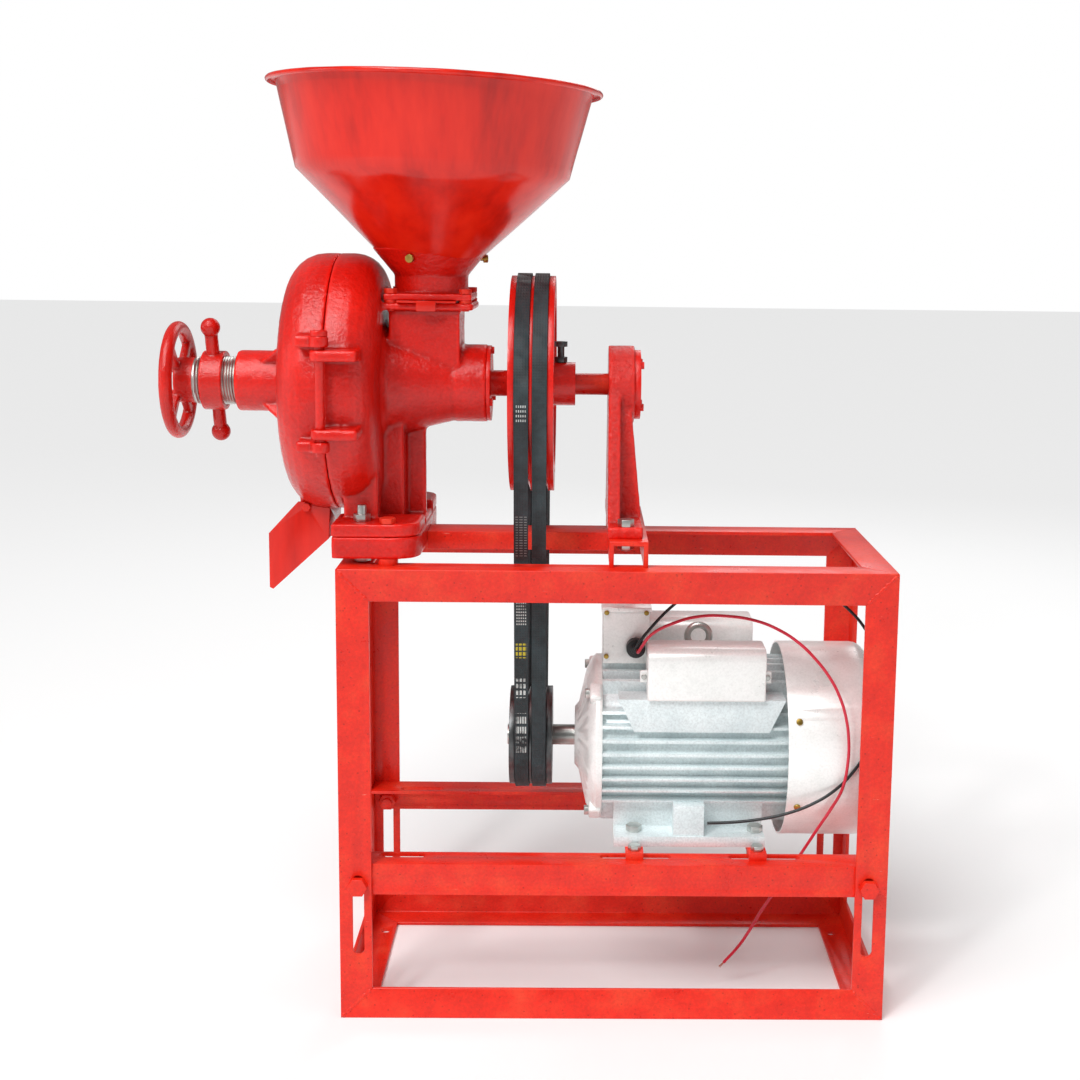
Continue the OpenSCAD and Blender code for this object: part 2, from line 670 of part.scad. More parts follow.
module handwheel() {
    hub_x0 = screw_end_x - 22;
    color(red) difference() {
        union() {
            rod(hub_x0, screw_end_x, 26, 0, shaft_z);
            along_x(wheel_x, 0, shaft_z) rotate_extrude() translate([wheel_r, 0]) circle(r = wheel_tube_r);
            for (i = [0:3]) along_x(wheel_x, 0, shaft_z) rotate([0, 0, 45 + 90 * i])
                translate([18, -5, -4]) cube([wheel_r - 20, 10, 9]);
        }
        rod(hub_x0 - eps, screw_end_x + eps, 11 + fit, 0, shaft_z);
    }
}
module lock_nut() {
    mid = (nut_x0 + nut_x1) / 2;
    color(red) difference() {
        union() {
            rod(nut_x0, nut_x1, nut_r, 0, shaft_z);
            for (s = [0, 180]) along_x(mid, 0, shaft_z) rotate([0, 0, 90 - nut_turn + s]) {
                rotate([0, 90, 0]) cylinder(h = arm_reach, r = 7.5);
                translate([arm_reach, 0, 0]) sphere(r = arm_ball_r);
            }
        }
        rod(nut_x0 - eps, nut_x1 + eps, screw_r + run, 0, shaft_z);
    }
}

// ---- rotating parts of the mill
module main_shaft() {
    color(steel) {
        rod(rot_plate_x + 6, -125, shaft_r, 0, shaft_z);
        rod(-126, hub_end_x, pulley_bore_r - fit, 0, shaft_z);
        rod(hub_end_x - eps, ped_x1 - 2, shaft_end_r, 0, shaft_z);
    }
}
module feed_auger() {
    x0 = body_back_x + 2;
    x1 = cone_end_x - 14;
    turns = 5;
    lead = (x1 - x0) / turns;
    color(dark_steel) difference() {
        union() {
            rod(x0, x1, 21, 0, shaft_z);
            for (i = [0:turns - 1]) rod(x0 + i * lead, x0 + i * lead + 4, auger_r - 0.5, 0, shaft_z);
        }
        rod(x0 - eps, x1 + eps, shaft_r + fit, 0, shaft_z);
    }
}
module plate_holder() {
    x0 = rot_plate_x + plate_t;
    color(dark_steel) difference() {
        union() {
            ring(x0, x0 + 8, plate_r - 4, 90, shaft_z);
            rod(x0 - 8, x0 + 30, 24, 0, shaft_z);
            for (i = [0:2]) along_x(x0, 0, shaft_z) rotate([0, 0, 120 * i])
                translate([20, -9, 0]) cube([74, 18, 8]);
        }
        rod(x0 - 9, x0 + 30 + eps, shaft_r + fit, 0, shaft_z);
    }
}
function v_groove(rim, x) =         // outline of one belt groove, [radius, x] from the rim inwards
    let (r0 = rim, r1 = rim - belt_h, half0 = belt_w / 2 + groove_gap, half1 = half0 - belt_h * tan(19))
    [[r0 + 4, x - half0 - 1.4], [r1 + 1, x - half1], [r1 + 1, x + half1], [r0 + 4, x + half0 + 1.4]];
module grooved_rim(belt_r, z, bore) {
    rim = belt_r - rim_drop;
    difference() {
        ring(pulley_x - pulley_w / 2, pulley_x + pulley_w / 2, rim, bore, z);
        for (s = [-1, 1]) turned(v_groove(rim - groove_gap, pulley_x + s * belt_pitch / 2), z);
    }
}
module mill_pulley() {
    arms = 4;
    web_in = big_belt_r - 24;
    color(red) difference() {
        union() {
            grooved_rim(big_belt_r, shaft_z, web_in);
            rod(pulley_x - 24, hub_end_x, hub_r, 0, shaft_z);
            for (i = [0:arms - 1]) along_x(pulley_x, 0, shaft_z) rotate([0, 0, 45 + i * 360 / arms])
                translate([hub_r - 3, -9, -5]) cube([web_in - hub_r + 5, 18, 10]);
        }
        rod(pulley_x - 26, hub_end_x + eps, pulley_bore_r, 0, shaft_z);
        along_x(-66, 0, shaft_z) rotate([0, 0, 90]) rotate([0, 90, 0])
            cylinder(h = hub_r + 10, r = 4 + run);
    }
}
module pulley_set_screw() {
    color(dark_steel) translate([-66, 0, shaft_z]) {
        translate([0, 0, pulley_bore_r + 0.2]) cylinder(h = 35, r = 4);
        translate([0, 0, hub_r + 0.3]) cylinder(h = 6, r = 7.5, $fn = 6);
        translate([0, 0, 43]) cylinder(h = 6, r = 7.5, $fn = 6);
    }
}
module motor_pulley() {
    color(dark_steel) grooved_rim(small_belt_r, motor_z, motor_shaft_r + fit);
}
// One belt: a closed loop round both pulleys, with a wedge-shaped section
module belt(x) {
    lap = 0.05;                     // the straight runs reach this far into the arcs
    half0 = belt_w / 2;
    half1 = half0 - belt_h * tan(19);
    section = [[0, -half0], [0, half0], [-belt_h, half1], [-belt_h, -half1]];
    big = [for (p = section) [big_belt_r + p[0], p[1]]];
    small = [for (p = section) [small_belt_r + p[0], p[1]]];
    along_x(x, 0, shaft_z) rotate([0, 0, -wrap]) rotate_extrude(angle = 180 + 2 * wrap) polygon(big);
    along_x(x, 0, motor_z) rotate([0, 0, 180 + wrap]) rotate_extrude(angle = 180 - 2 * wrap) polygon(small);
    for (side = [0, 1]) translate([x, 0, shaft_z]) mirror([0, side, 0]) rotate([-wrap, 0, 0])
        translate([0, big_belt_r, lap]) rotate([0, 180, 0]) linear_extrude(belt_run + 2 * lap)
            polygon([for (p = section) [p[1], p[0]]]);
}
module v_belts() {
    color(rubber) for (s = [-1, 1]) belt(pulley_x + s * belt_pitch / 2);
}

// ---- bearings and pedestal
module bearing(x0, width, ro, ri, z) {
    mid = (ro + ri) / 2;
    difference() {
        ring(x0, x0 + width, ro, ri + run, z);
        for (x = [x0 - eps, x0 + width - 1.5]) ring(x, x + 1.5 + eps, mid + 3, mid - 3, z);
    }
}
module ball_bearings() {
    color(steel) {
        bearing(cone_end_x + 8, bearing_w, bearing_or, shaft_r, shaft_z);
        bearing(ped_x1 - ped_bearing_w - 2, ped_bearing_w, ped_bearing_or, shaft_end_r, shaft_z);
        bearing(-38, motor_bearing_w, motor_bearing_or, motor_shaft_r, motor_z);
        bearing(housing_x1 - 4, motor_bearing_w, motor_bearing_or, motor_shaft_r, motor_z);
    }
}
module bearing_caps() {
    color(red) {
        difference() {
            ring(housing_end_x, housing_end_x + 4, housing_r - 1, shaft_r + 1, shaft_z);
            for (a = [90, 210, 330]) rod(housing_end_x - eps, housing_end_x + 5, 2.6,
                                         38 * cos(a), shaft_z + 38 * sin(a));
        }
        difference() {
            rod(ped_x1, ped_x1 + cap_t, 40, 0, shaft_z);
            rod(ped_x1 - eps, ped_x1 + 3, 20, 0, shaft_z);
            for (a = [45:90:315]) rod(ped_x1 - eps, ped_x1 + cap_t + eps, 2.6,
                                      34 * cos(a), shaft_z + 34 * sin(a));
        }
    }
    color(dark_steel) {
        for (a = [90, 210, 330]) {
            rod(housing_end_x - 10, housing_end_x + 4 + eps, 2.5, 38 * cos(a), shaft_z + 38 * sin(a));
            along_x(housing_end_x + 4, 38 * cos(a), shaft_z + 38 * sin(a)) cylinder(h = 3, r = 4.6, $fn = 6);
        }
        for (a = [45:90:315]) {
            rod(ped_x1 - 10, ped_x1 + cap_t + eps, 2.5, 34 * cos(a), shaft_z + 34 * sin(a));
            along_x(ped_x1 + cap_t, 34 * cos(a), shaft_z + 34 * sin(a)) cylinder(h = 3.5, r = 4.6, $fn = 6);
        }
    }
}
module bearing_pedestal() {
    color(red) difference() {
        union() {
            rod(ped_x0, ped_x1, ped_boss_r, 0, shaft_z);
            // web, tapering from the foot up to the boss
            along_x(ped_x0, 0, ped_foot_z) linear_extrude(14)
                polygon([[-78, ped_foot_t - eps], [-44, shaft_z - ped_foot_z], [44, shaft_z - ped_foot_z],
                         [78, ped_foot_t - eps]]);
            // two side ribs, thicker towards the foot
            for (s = [-1, 1]) translate([0, s * 34 + 5, 0]) rotate([90, 0, 0]) linear_extrude(10)
                polygon([[ped_x0, ped_foot_z + ped_foot_t - eps],
                     [ped_foot_x1, ped_foot_z + ped_foot_t - eps],
                         [ped_x1 - 4, shaft_z - 20], [ped_x0, shaft_z - 20]]);
            block(ped_x0, ped_foot_x1, -ped_y, ped_y, ped_foot_z, ped_foot_z + ped_foot_t);
        }
        rod(ped_x1 - ped_bearing_w - 2, ped_x1 + eps, ped_bearing_or + fit, 0, shaft_z);
        rod(ped_x0 - eps, ped_x1, shaft_end_r + 1, 0, shaft_z);
        for (s = [-1, 1]) post(9, s * ped_bolt_y, ped_foot_z - eps, ped_foot_z + ped_foot_t + eps,
                               bar_hole_r);
        for (a = [45:90:315]) rod(ped_x1 - 12, ped_x1 + eps, 2.6, 34 * cos(a), shaft_z + 34 * sin(a));
    }
}
module pedestal_bolts() {
    color(steel) for (s = [-1, 1]) translate([9, s * ped_bolt_y, ped_foot_z + ped_foot_t])
        hex_bolt(m10_r, ped_foot_t + 5, 8, 8, 2);
}

// ---- motor
module motor_housing() {
    fins = 8;
    pitch = 15;
    first = -(fins - 1) * pitch / 2 - 1.5;
    pad_z = motor_z + 34;
    pad_end = 18;
    color(grey) difference() {
        union() {
            rod(housing_x0, housing_x1, tube_r, 0, motor_z);
            intersection() {
                rod(housing_x0, housing_x1, fin_r, 0, motor_z);
                union() {
                    for (i = [0:fins - 1]) translate([housing_x0, -fin_r, motor_z + first + i * pitch])
                        cube([housing_x1 - housing_x0, 2 * fin_r, 3]);
                    for (i = [0:fins - 1]) translate([housing_x0, first + i * pitch, motor_z - fin_r])
                        cube([housing_x1 - housing_x0, 3, 2 * fin_r]);
                }
            }
            for (s = [-1, 1]) {
                block(0, 173, s > 0 ? 56 : -foot_edge, s > 0 ? foot_edge : -56, foot_z, foot_z + 12);
                block(0, 173, s > 0 ? 56 : -66, s > 0 ? 66 : -56, foot_z, motor_z - 48);
                block(68, 103, s > 0 ? 56 : -98, s > 0 ? 98 : -56, foot_z, motor_z - 52);
            }
            block(box_x0, box_x0 + box_l, -30, 30, motor_z + 70, box_z0);
            for (s = [-1, 1]) translate([0, s * (cap_y + 5) + 17, 0]) rotate([90, 0, 0]) linear_extrude(34)
                polygon([[housing_x0 + pad_end, cap_z - cap_h / 2], [housing_x0 + 2 * pad_end, pad_z],
                         [housing_x1 - 2 * pad_end, pad_z], [housing_x1 - pad_end, cap_z - cap_h / 2]]);
            post(100, 0, motor_z + 80, motor_z + 106, 13);
        }
        rod(housing_x0 - eps, housing_x1 + eps, housing_in_r, 0, motor_z);
        for (x = foot_x) for (s = [-1, 1])
            post(x, s * foot_a / 2, foot_z - eps, foot_z + 12 + eps, bar_hole_r);
        for (x = foot_x) for (s = [-1, 1]) post(x, s * foot_a / 2, foot_z + 12, foot_z + 40, 10.5);
        post(100, 0, motor_z + 84, motor_z + 107, 4.1);
    }
}
module motor_end_shields() {
    color(grey) {
        difference() {
            turned([[0, shield_x], [34, shield_x], [40, shield_x + 5], [80, shield_x + 14],
                    [93, shield_x + 21], [97, shield_x + 25], [97, housing_x0 - fit], [0, housing_x0 - fit]],
                   motor_z);
            turned([[0, -30], [60, -30], [78, -22], [78, housing_x0 + eps], [0, housing_x0 + eps]], motor_z);
            rod(-38, -29, motor_bearing_or + fit, 0, motor_z);
            rod(shield_x - eps, -37, motor_shaft_r + 1, 0, motor_z);
        }
        ring(-38, -20, 32, motor_bearing_or + fit, motor_z);
        difference() {
            turned([[0, housing_x1 + fit], [97, housing_x1 + fit], [97, housing_x1 + 6],
                    [36, housing_x1 + 14], [0, housing_x1 + 14]], motor_z);
            rod(housing_x1 - eps, housing_x1 + 11, motor_bearing_or + fit, 0, motor_z);
            rod(housing_x1, housing_x1 + 15, motor_shaft_r + 1, 0, motor_z);
        }
    }
}
module stator_core() {
    color(dark_steel) {
        ring(30, 165, housing_in_r - fit, rotor_r + air_gap, motor_z);
        ring(6, 30, 74, 58, motor_z);
        ring(165, 189, 74, 58, motor_z);
    }
}
module motor_rotor() {
    color(steel) {
        rod(-126, 262, motor_shaft_r, 0, motor_z);
        rod(30, 165, rotor_r, 0, motor_z);
        ring(20, 30, 46, 30, motor_z);
        ring(165, 175, 46, 30, motor_z);
    }
}
module cooling_fan() {
    blades = 8;
    color(rubber) difference() {
        union() {
            rod(fan_x, fan_x + 6, 80, 0, motor_z);
            rod(fan_x, fan_x + 26, 20, 0, motor_z);
            for (i = [0:blades - 1]) along_x(fan_x + 5, 0, motor_z) rotate([0, 0, i * 360 / blades])
                translate([18, -1.5, 0]) cube([66, 3, 26]);
        }
        rod(fan_x - eps, fan_x + 32, motor_shaft_r + fit, 0, motor_z);
    }
}
module fan_cover() {
    r = fan_cover_r;
    t = cover_t;
    bend = 16;
    color(grey) difference() {
        turned(concat([[r - t, cover_x0], [r, cover_x0]], arc(r - bend, cover_x1 - bend, bend, 0, 90, 5),
                      [[0, cover_x1], [0, cover_x1 - t]],
                      arc(r - bend, cover_x1 - bend, bend - t, 90, 0, 5)), motor_z);
        for (k = [0:4]) for (i = [0:5]) along_x(cover_x1 - t - eps, 0, motor_z) rotate([0, 0, i * 60])
            rotate_extrude(angle = 46) translate([24 + 15 * k, 0]) square([7, t + 2 * eps]);
    }
    color(grey) for (a = [30, 150, 270]) along_x(housing_x1 + 2, 0, motor_z) rotate([0, 0, a])
        translate([97.1, -6, -2]) cube([r - 97.2, 12, 6]);
}
module terminal_box() {
    color(grey) difference() {
        union() {
            block(box_x0, box_x0 + box_l, -box_d / 2, box_d / 2, box_z0, box_z0 + box_h - 6);
            block(box_x0 - 2, box_x0 + box_l + 2, -box_d / 2 - 2, box_d / 2 + 2, box_z0 + box_h - 6,
                  box_z0 + box_h);
        }
        block(box_x0 + 4, box_x0 + box_l - 4, -box_d / 2 + 4, box_d / 2 - 4, box_z0 + 4, box_z0 + box_h - 6);
        translate([gland_x, -box_d / 2, gland_z]) rotate([90, 0, 0])
            cylinder(h = 12, r = 6 + fit, center = true);
    }
}
module cable_gland() {
    y0 = -box_d / 2;
    color(rubber) translate([gland_x, y0, gland_z]) rotate([90, 0, 0]) {
        cylinder(h = gland_l - 2, r = gland_r);
        translate([0, 0, -5]) cylinder(h = gland_l + 5, r = 6);
    }
}
module capacitor_covers() {
    r = 14;
    color(grey) difference() {
        for (s = [-1, 1]) translate([cap_x0, s * cap_y, cap_z]) rotate([90, 0, 90])
            linear_extrude(cap_l) polygon(concat(
                arc(cap_d / 2 - r, cap_h / 2 - r, r, 0, 90, 4),
                arc(-cap_d / 2 + r, cap_h / 2 - r, r, 90, 180, 4),
                [[-cap_d / 2, -cap_h / 2], [cap_d / 2, -cap_h / 2]]));
        rod(cap_x0 - eps, cap_x0 + cap_l + eps, fin_r + 0.3, 0, motor_z);
    }
}
module eye_bolt() {
    z0 = motor_z + 106;
    color(steel) {
        post(100, 0, z0 - 18, z0 + 4, 4);
        post(100, 0, z0 + 0.02, z0 + 4, 10);
        translate([100, 0, z0 + 17]) rotate([90, 0, 0]) rotate_extrude() translate([13, 0]) circle(r = 4);
    }
}

// ---- free leads: a tube of eight sides swept along a route
function unit(v) = v / norm(v);
function tangent(p, i) =
    unit(i == 0 ? p[1] - p[0] : i == len(p) - 1 ? p[i] - p[i - 1]
         : unit(p[i + 1] - p[i]) + unit(p[i] - p[i - 1]));
module tube(points, r) {
    sides = 8;
    n = len(points);
    up = [0, 1, 0];
    rings = [for (i = [0:n - 1])
        let (t = tangent(points, i), side = unit(cross(t, abs(t[1]) > 0.9 ? [1, 0, 0] : up)),
             top = cross(side, t))
        for (k = [0:sides - 1]) points[i] + r * (cos(k * 45) * side + sin(k * 45) * top)];
    walls = [for (i = [0:n - 2]) for (k = [0:sides - 1])
        [i * sides + k, i * sides + (k + 1) % sides, (i + 1) * sides + (k + 1) % sides,
         (i + 1) * sides + k]];
    polyhedron(rings, concat([[for (k = [sides - 1:-1:0]) k]], walls,
                             [[for (k = [0:sides - 1]) (n - 1) * sides + k]]));
}
module lead_red() {
    color("#d0202a") tube(red_route, lead_r);
}
module lead_black() {
    color("#17181a") tube(black_route, lead_r);
}

leg(false, false);  // leg_front_left
leg(true, false);  // leg_front_right
leg(false, true);  // leg_back_left
leg(true, true);  // leg_back_right
long_rail(false, true);  // top_rail_front
long_rail(true, true);  // top_rail_back
short_rail(false, true);  // top_rail_left
short_rail(true, true);  // top_rail_right
long_rail(false, false);  // bottom_rail_front
long_rail(true, false);  // bottom_rail_back
short_rail(false, false);  // bottom_rail_left
short_rail(true, false);  // bottom_rail_right
motor_rail(-1);  // motor_rail_front
motor_rail(1);  // motor_rail_back
rail_bolts();
motor_cross_bars();
motor_bolts();
mill_bed_plate();
bed_beams();
mill_foot_bolts();
mill_frame_bolts();
mill_body();
mill_door();
hinge_pin();
door_bolts();
discharge_chute();
hopper();
hopper_neck();
neck_bolts();
hopper_screws();
feed_gate();
plate_carrier();
stationary_plate();
adjusting_screw();
handwheel();
lock_nut();
main_shaft();
feed_auger();
plate_holder();
rotating_plate();
mill_pulley();
pulley_set_screw();
ball_bearings();
bearing_caps();
bearing_pedestal();
pedestal_bolts();
v_belts();
motor_pulley();
motor_housing();
motor_end_shields();
stator_core();
motor_rotor();
cooling_fan();
fan_cover();
terminal_box();
cable_gland();
capacitor_covers();
eye_bolt();
lead_red();
lead_black();
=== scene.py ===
import json
import math

import bpy
from mathutils import Matrix, Vector

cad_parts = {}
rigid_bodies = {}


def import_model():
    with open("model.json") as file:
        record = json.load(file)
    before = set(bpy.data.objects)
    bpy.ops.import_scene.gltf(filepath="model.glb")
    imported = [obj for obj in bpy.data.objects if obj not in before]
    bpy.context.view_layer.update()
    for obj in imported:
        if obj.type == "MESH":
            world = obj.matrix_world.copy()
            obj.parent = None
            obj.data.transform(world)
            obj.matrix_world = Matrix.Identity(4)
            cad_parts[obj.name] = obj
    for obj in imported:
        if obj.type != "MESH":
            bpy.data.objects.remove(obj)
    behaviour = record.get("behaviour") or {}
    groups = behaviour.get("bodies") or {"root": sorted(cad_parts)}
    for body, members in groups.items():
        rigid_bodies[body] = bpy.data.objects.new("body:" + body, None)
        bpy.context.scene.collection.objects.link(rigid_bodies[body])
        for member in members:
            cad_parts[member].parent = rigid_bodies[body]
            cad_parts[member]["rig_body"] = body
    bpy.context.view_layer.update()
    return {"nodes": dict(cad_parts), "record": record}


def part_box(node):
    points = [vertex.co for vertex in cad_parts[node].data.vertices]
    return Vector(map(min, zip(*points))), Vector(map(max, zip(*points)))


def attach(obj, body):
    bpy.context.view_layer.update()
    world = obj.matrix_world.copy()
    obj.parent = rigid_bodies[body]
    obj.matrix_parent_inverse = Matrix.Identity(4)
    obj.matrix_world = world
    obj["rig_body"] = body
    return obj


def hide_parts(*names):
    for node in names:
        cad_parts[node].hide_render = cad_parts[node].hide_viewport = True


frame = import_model()

# ---- The studio
# A long lens looks at the side of the machine from a little above the shaft. The machine
# stands on a plain pale floor under one broad roof light, with four small soft lamps round it.
yaw, pitch, roll = 0.014052, 0.146174, -0.0119
forward = Vector((math.sin(yaw) * math.cos(pitch), math.cos(yaw) * math.cos(pitch), -math.sin(pitch)))
level = Vector((math.cos(yaw), -math.sin(yaw), 0))
across = math.cos(roll) * level + math.sin(roll) * forward.cross(level)
camera = bpy.data.cameras.new("studio_camera")
camera.sensor_width = 36
camera.lens = 51.2
camera.shift_x, camera.shift_y = -0.0556, -0.0648
camera_stand = bpy.data.objects.new("studio_camera", camera)
bpy.context.collection.objects.link(camera_stand)
camera_stand.matrix_world = Matrix.Translation((-0.0442, -1.7768, 0.87295)) @ Matrix(
    (across, across.cross(forward), -forward)).transposed().to_4x4()
bpy.context.scene.camera = camera_stand
bpy.context.scene.view_settings.view_transform = "Standard"


def linear(hex_colour):
    """The linear RGBA of an sRGB colour such as '#c81a10'."""
    parts = [int(hex_colour[i:i + 2], 16) / 255 for i in (1, 3, 5)]
    return [p / 12.92 if p <= 0.04045 else ((p + 0.055) / 1.055) ** 2.4 for p in parts] + [1]


def add(tree, kind, sockets=None, **settings):
    """Adds a node: its settings, then its input sockets by name or number, as values or links."""
    node = tree.nodes.new("ShaderNode" + kind)
    for name, value in settings.items():
        setattr(node, name, value)
    for name, value in (sockets or {}).items():
        if isinstance(value, bpy.types.NodeSocket):
            tree.links.new(value, node.inputs[name])
        else:
            node.inputs[name].default_value = value
    return node


def new_material(name):
    """An empty material, its tree and its surface shader."""
    made = bpy.data.materials.new(name)
    made.use_nodes = True
    made.node_tree.nodes.clear()
    shader = add(made.node_tree, "BsdfPrincipled")
    add(made.node_tree, "OutputMaterial", {"Surface": shader.outputs[0]})
    return made, made.node_tree, shader


world = bpy.data.worlds.new("white_studio")
world.use_nodes = True
room = world.node_tree.nodes["Background"]
room.inputs["Color"].default_value = (1, 1, 1, 1)
lens_ray = add(world.node_tree, "LightPath").outputs["Is Camera Ray"]
brightness = add(world.node_tree, "MapRange", {"Value": lens_ray, "To Min": 0.26, "To Max": 1.0})
world.node_tree.links.new(brightness.outputs["Result"], room.inputs["Strength"])
bpy.context.scene.world = world

for name, kind, place, aim, size, power in (
        ("roof_light", "SUN", (-0.8, -1.4, 2.6), (0, 0, 0), 0.7, 2.15),
        ("key_softbox", "AREA", (-1.1, -1.9, 2.1), (-0.2, 0, 0.6), 0.28, 14),
        ("left_softbox", "AREA", (-2.4, -0.7, 1.2), (-0.2, 0, 0.6), 0.7, 5),
        ("right_softbox", "AREA", (2.3, -1.4, 1.2), (0.1, 0, 0.4), 0.9, 4),
        ("back_softbox", "AREA", (0.6, 2.3, 2.2), (0, 0, 0.6), 1.2, 12)):
    lamp = bpy.data.lights.new(name, kind)
    if kind == "SUN":
        lamp.angle = size
    else:
        lamp.size = size
    lamp.energy = power
    stand = bpy.data.objects.new(name, lamp)
    bpy.context.collection.objects.link(stand)
    stand.location = place
    stand.rotation_euler = (Vector(aim) - Vector(place)).to_track_quat("-Z", "Y").to_euler()

bpy.ops.mesh.primitive_plane_add(size=40, location=(0, 0, -0.0002))
floor = bpy.context.object
floor.name = "studio_floor"
floor_material, floor_tree, floor_shader = new_material("pale studio floor")
floor_shader.inputs["Base Color"].default_value = linear("#ffffff")
floor_shader.inputs["Roughness"].default_value = 0.9
floor.data.materials.append(floor_material)

# ---- The motor's leads
# Two single-core PVC leads come out of the terminal box's gland and hang loose round the
# motor. The red one ends bare below the motor rail, the black one behind the foot's rib.
LEAD_R = 0.00175
red_route = [(26, -53, 409), (26, -62, 409), (30, -73, 419), (40, -84, 436), (66, -92, 452),
             (92, -95, 460), (124, -100, 462), (157, -106, 458), (182, -112, 449),
             (203, -117, 436), (221, -120, 419), (237, -122, 399), (249, -123, 377),
             (257, -123, 353), (261, -123, 328), (261, -124, 302), (256, -123, 270),
             (246, -112, 242), (233, -103, 215), (220, -92, 186), (205, -87, 158),
             (189, -84, 131), (174, -80, 105), (162, -76, 80), (149, -71, 56), (133, -66, 34)]
black_route = [(23, -53, 413.5), (23, -60, 413.5), (27, -66, 422), (42, -68, 442), (64, -67, 465),
               (92, -66, 486), (125, -64, 499), (162, -64, 504), (200, -65, 499),
               (234, -68, 486), (262, -74, 467), (284, -85, 442), (296, -99, 411),
               (298, -112, 376), (294, -116, 343), (284, -117, 314), (269, -117, 288),
               (249, -117, 266), (225, -117, 250), (197, -116, 238), (166, -112, 229),
               (135, -109, 224), (106, -107, 222)]


def pvc(name, colour, faded):
    """Extruded PVC: a soft even gloss, faintly wavy along the lead, a little faded in patches."""
    made, tree, shader = new_material(name)
    place = add(tree, "TexCoord").outputs["Object"]
    patches = add(tree, "TexNoise", {"Vector": place, "Scale": 45, "Detail": 3})
    shade = add(tree, "ValToRGB", {"Fac": patches.outputs["Fac"]})
    shade.color_ramp.elements[0].position = 0.35
    shade.color_ramp.elements[0].color = linear(colour)
    shade.color_ramp.elements[1].position = 0.75
    shade.color_ramp.elements[1].color = linear(faded)
    ripple = add(tree, "TexNoise", {"Vector": place, "Scale": 320, "Detail": 2})
    bump = add(tree, "Bump", {"Height": ripple.outputs["Fac"], "Strength": 0.2, "Distance": 0.0002})
    gloss = add(tree, "MapRange", {"Value": patches.outputs["Fac"], "To Min": 0.25, "To Max": 0.42})
    for socket, source in (("Base Color", shade.outputs["Color"]), ("Roughness", gloss.outputs["Result"]),
                           ("Normal", bump.outputs["Normal"])):
        tree.links.new(source, shader.inputs[socket])
    return made


def lead(name, route, material):
    """A round lead through the route's points, which are in millimetres."""
    line = bpy.data.curves.new(name, "CURVE")
    line.dimensions = "3D"
    line.bevel_depth = LEAD_R
    line.bevel_resolution = 4
    line.use_fill_caps = True
    spline = line.splines.new("BEZIER")
    spline.bezier_points.add(len(route) - 1)
    for knot, point in zip(spline.bezier_points, route):
        knot.co = Vector(point) / 1000
        knot.handle_left_type = knot.handle_right_type = "AUTO"
    spline.resolution_u = 6
    made = bpy.data.objects.new(name, line)
    bpy.context.collection.objects.link(made)
    line.materials.append(material)
    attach(made, "frame")
    return made


red_lead = lead("red_lead", red_route, pvc("red extruded PVC", "#c4102c", "#d8324a"))
black_lead = lead("black_lead", black_route, pvc("black extruded PVC", "#101416", "#23292b"))
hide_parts("lead_red")
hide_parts("lead_black")

# ---- The frame's angle bars
# Rolled mild-steel angle, sawn to length, mitred or lapped, arc welded into a box and brushed
# with red enamel. The rolled edges are slightly round and the enamel chalky on broad faces.
slots = {part["node"]: part["material_slot"] for part in frame["record"]["subparts"]}


def pick(obj):
    """Makes obj the one selected object and the active one."""
    bpy.ops.object.select_all(action="DESELECT")
    obj.select_set(True)
    bpy.context.view_layer.objects.active = obj


def finish(obj, body, material, angle=35):
    """Settles a finished piece: place in its mesh, smooth faces, one material and its body."""
    pick(obj)
    bpy.ops.object.transform_apply(location=True, rotation=True, scale=True)
    bpy.ops.object.shade_smooth_by_angle(angle=math.radians(angle))
    obj.data.materials.clear()
    obj.data.materials.append(material)
    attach(obj, body)
    return obj


def copy_of(node, name):
    """A merged copy of a CAD node's mesh, as a new object to work on."""
    made = bpy.data.objects.new(name, frame["nodes"][node].data.copy())
    bpy.context.collection.objects.link(made)
    pick(made)
    bpy.ops.object.mode_set(mode="EDIT")
    bpy.ops.mesh.select_all(action="SELECT")
    bpy.ops.mesh.remove_doubles(threshold=0.00002)
    bpy.ops.object.mode_set(mode="OBJECT")
    return made


def apply_all(obj):
    pick(obj)
    for modifier in list(obj.modifiers):
        bpy.ops.object.modifier_apply(modifier=modifier.name)


def eased(node, material, width=0.0006, angle=30):
    """A bar, plate or turned piece as the CAD has it, with its sharp edges broken."""
    made = copy_of(node, node + "_piece")
    bpy.ops.object.mode_set(mode="EDIT")
    bpy.ops.mesh.select_all(action="SELECT")
    bpy.ops.mesh.dissolve_limited(angle_limit=math.radians(0.4))
    bpy.ops.object.mode_set(mode="OBJECT")
    edge = made.modifiers.new("broken edges", "BEVEL")
    edge.width = width
    edge.segments = 2
    edge.limit_method = "ANGLE"
    edge.angle_limit = math.radians(angle)
    apply_all(made)
    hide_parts(node)
    return finish(made, frame["nodes"][node]["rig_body"], material, angle)


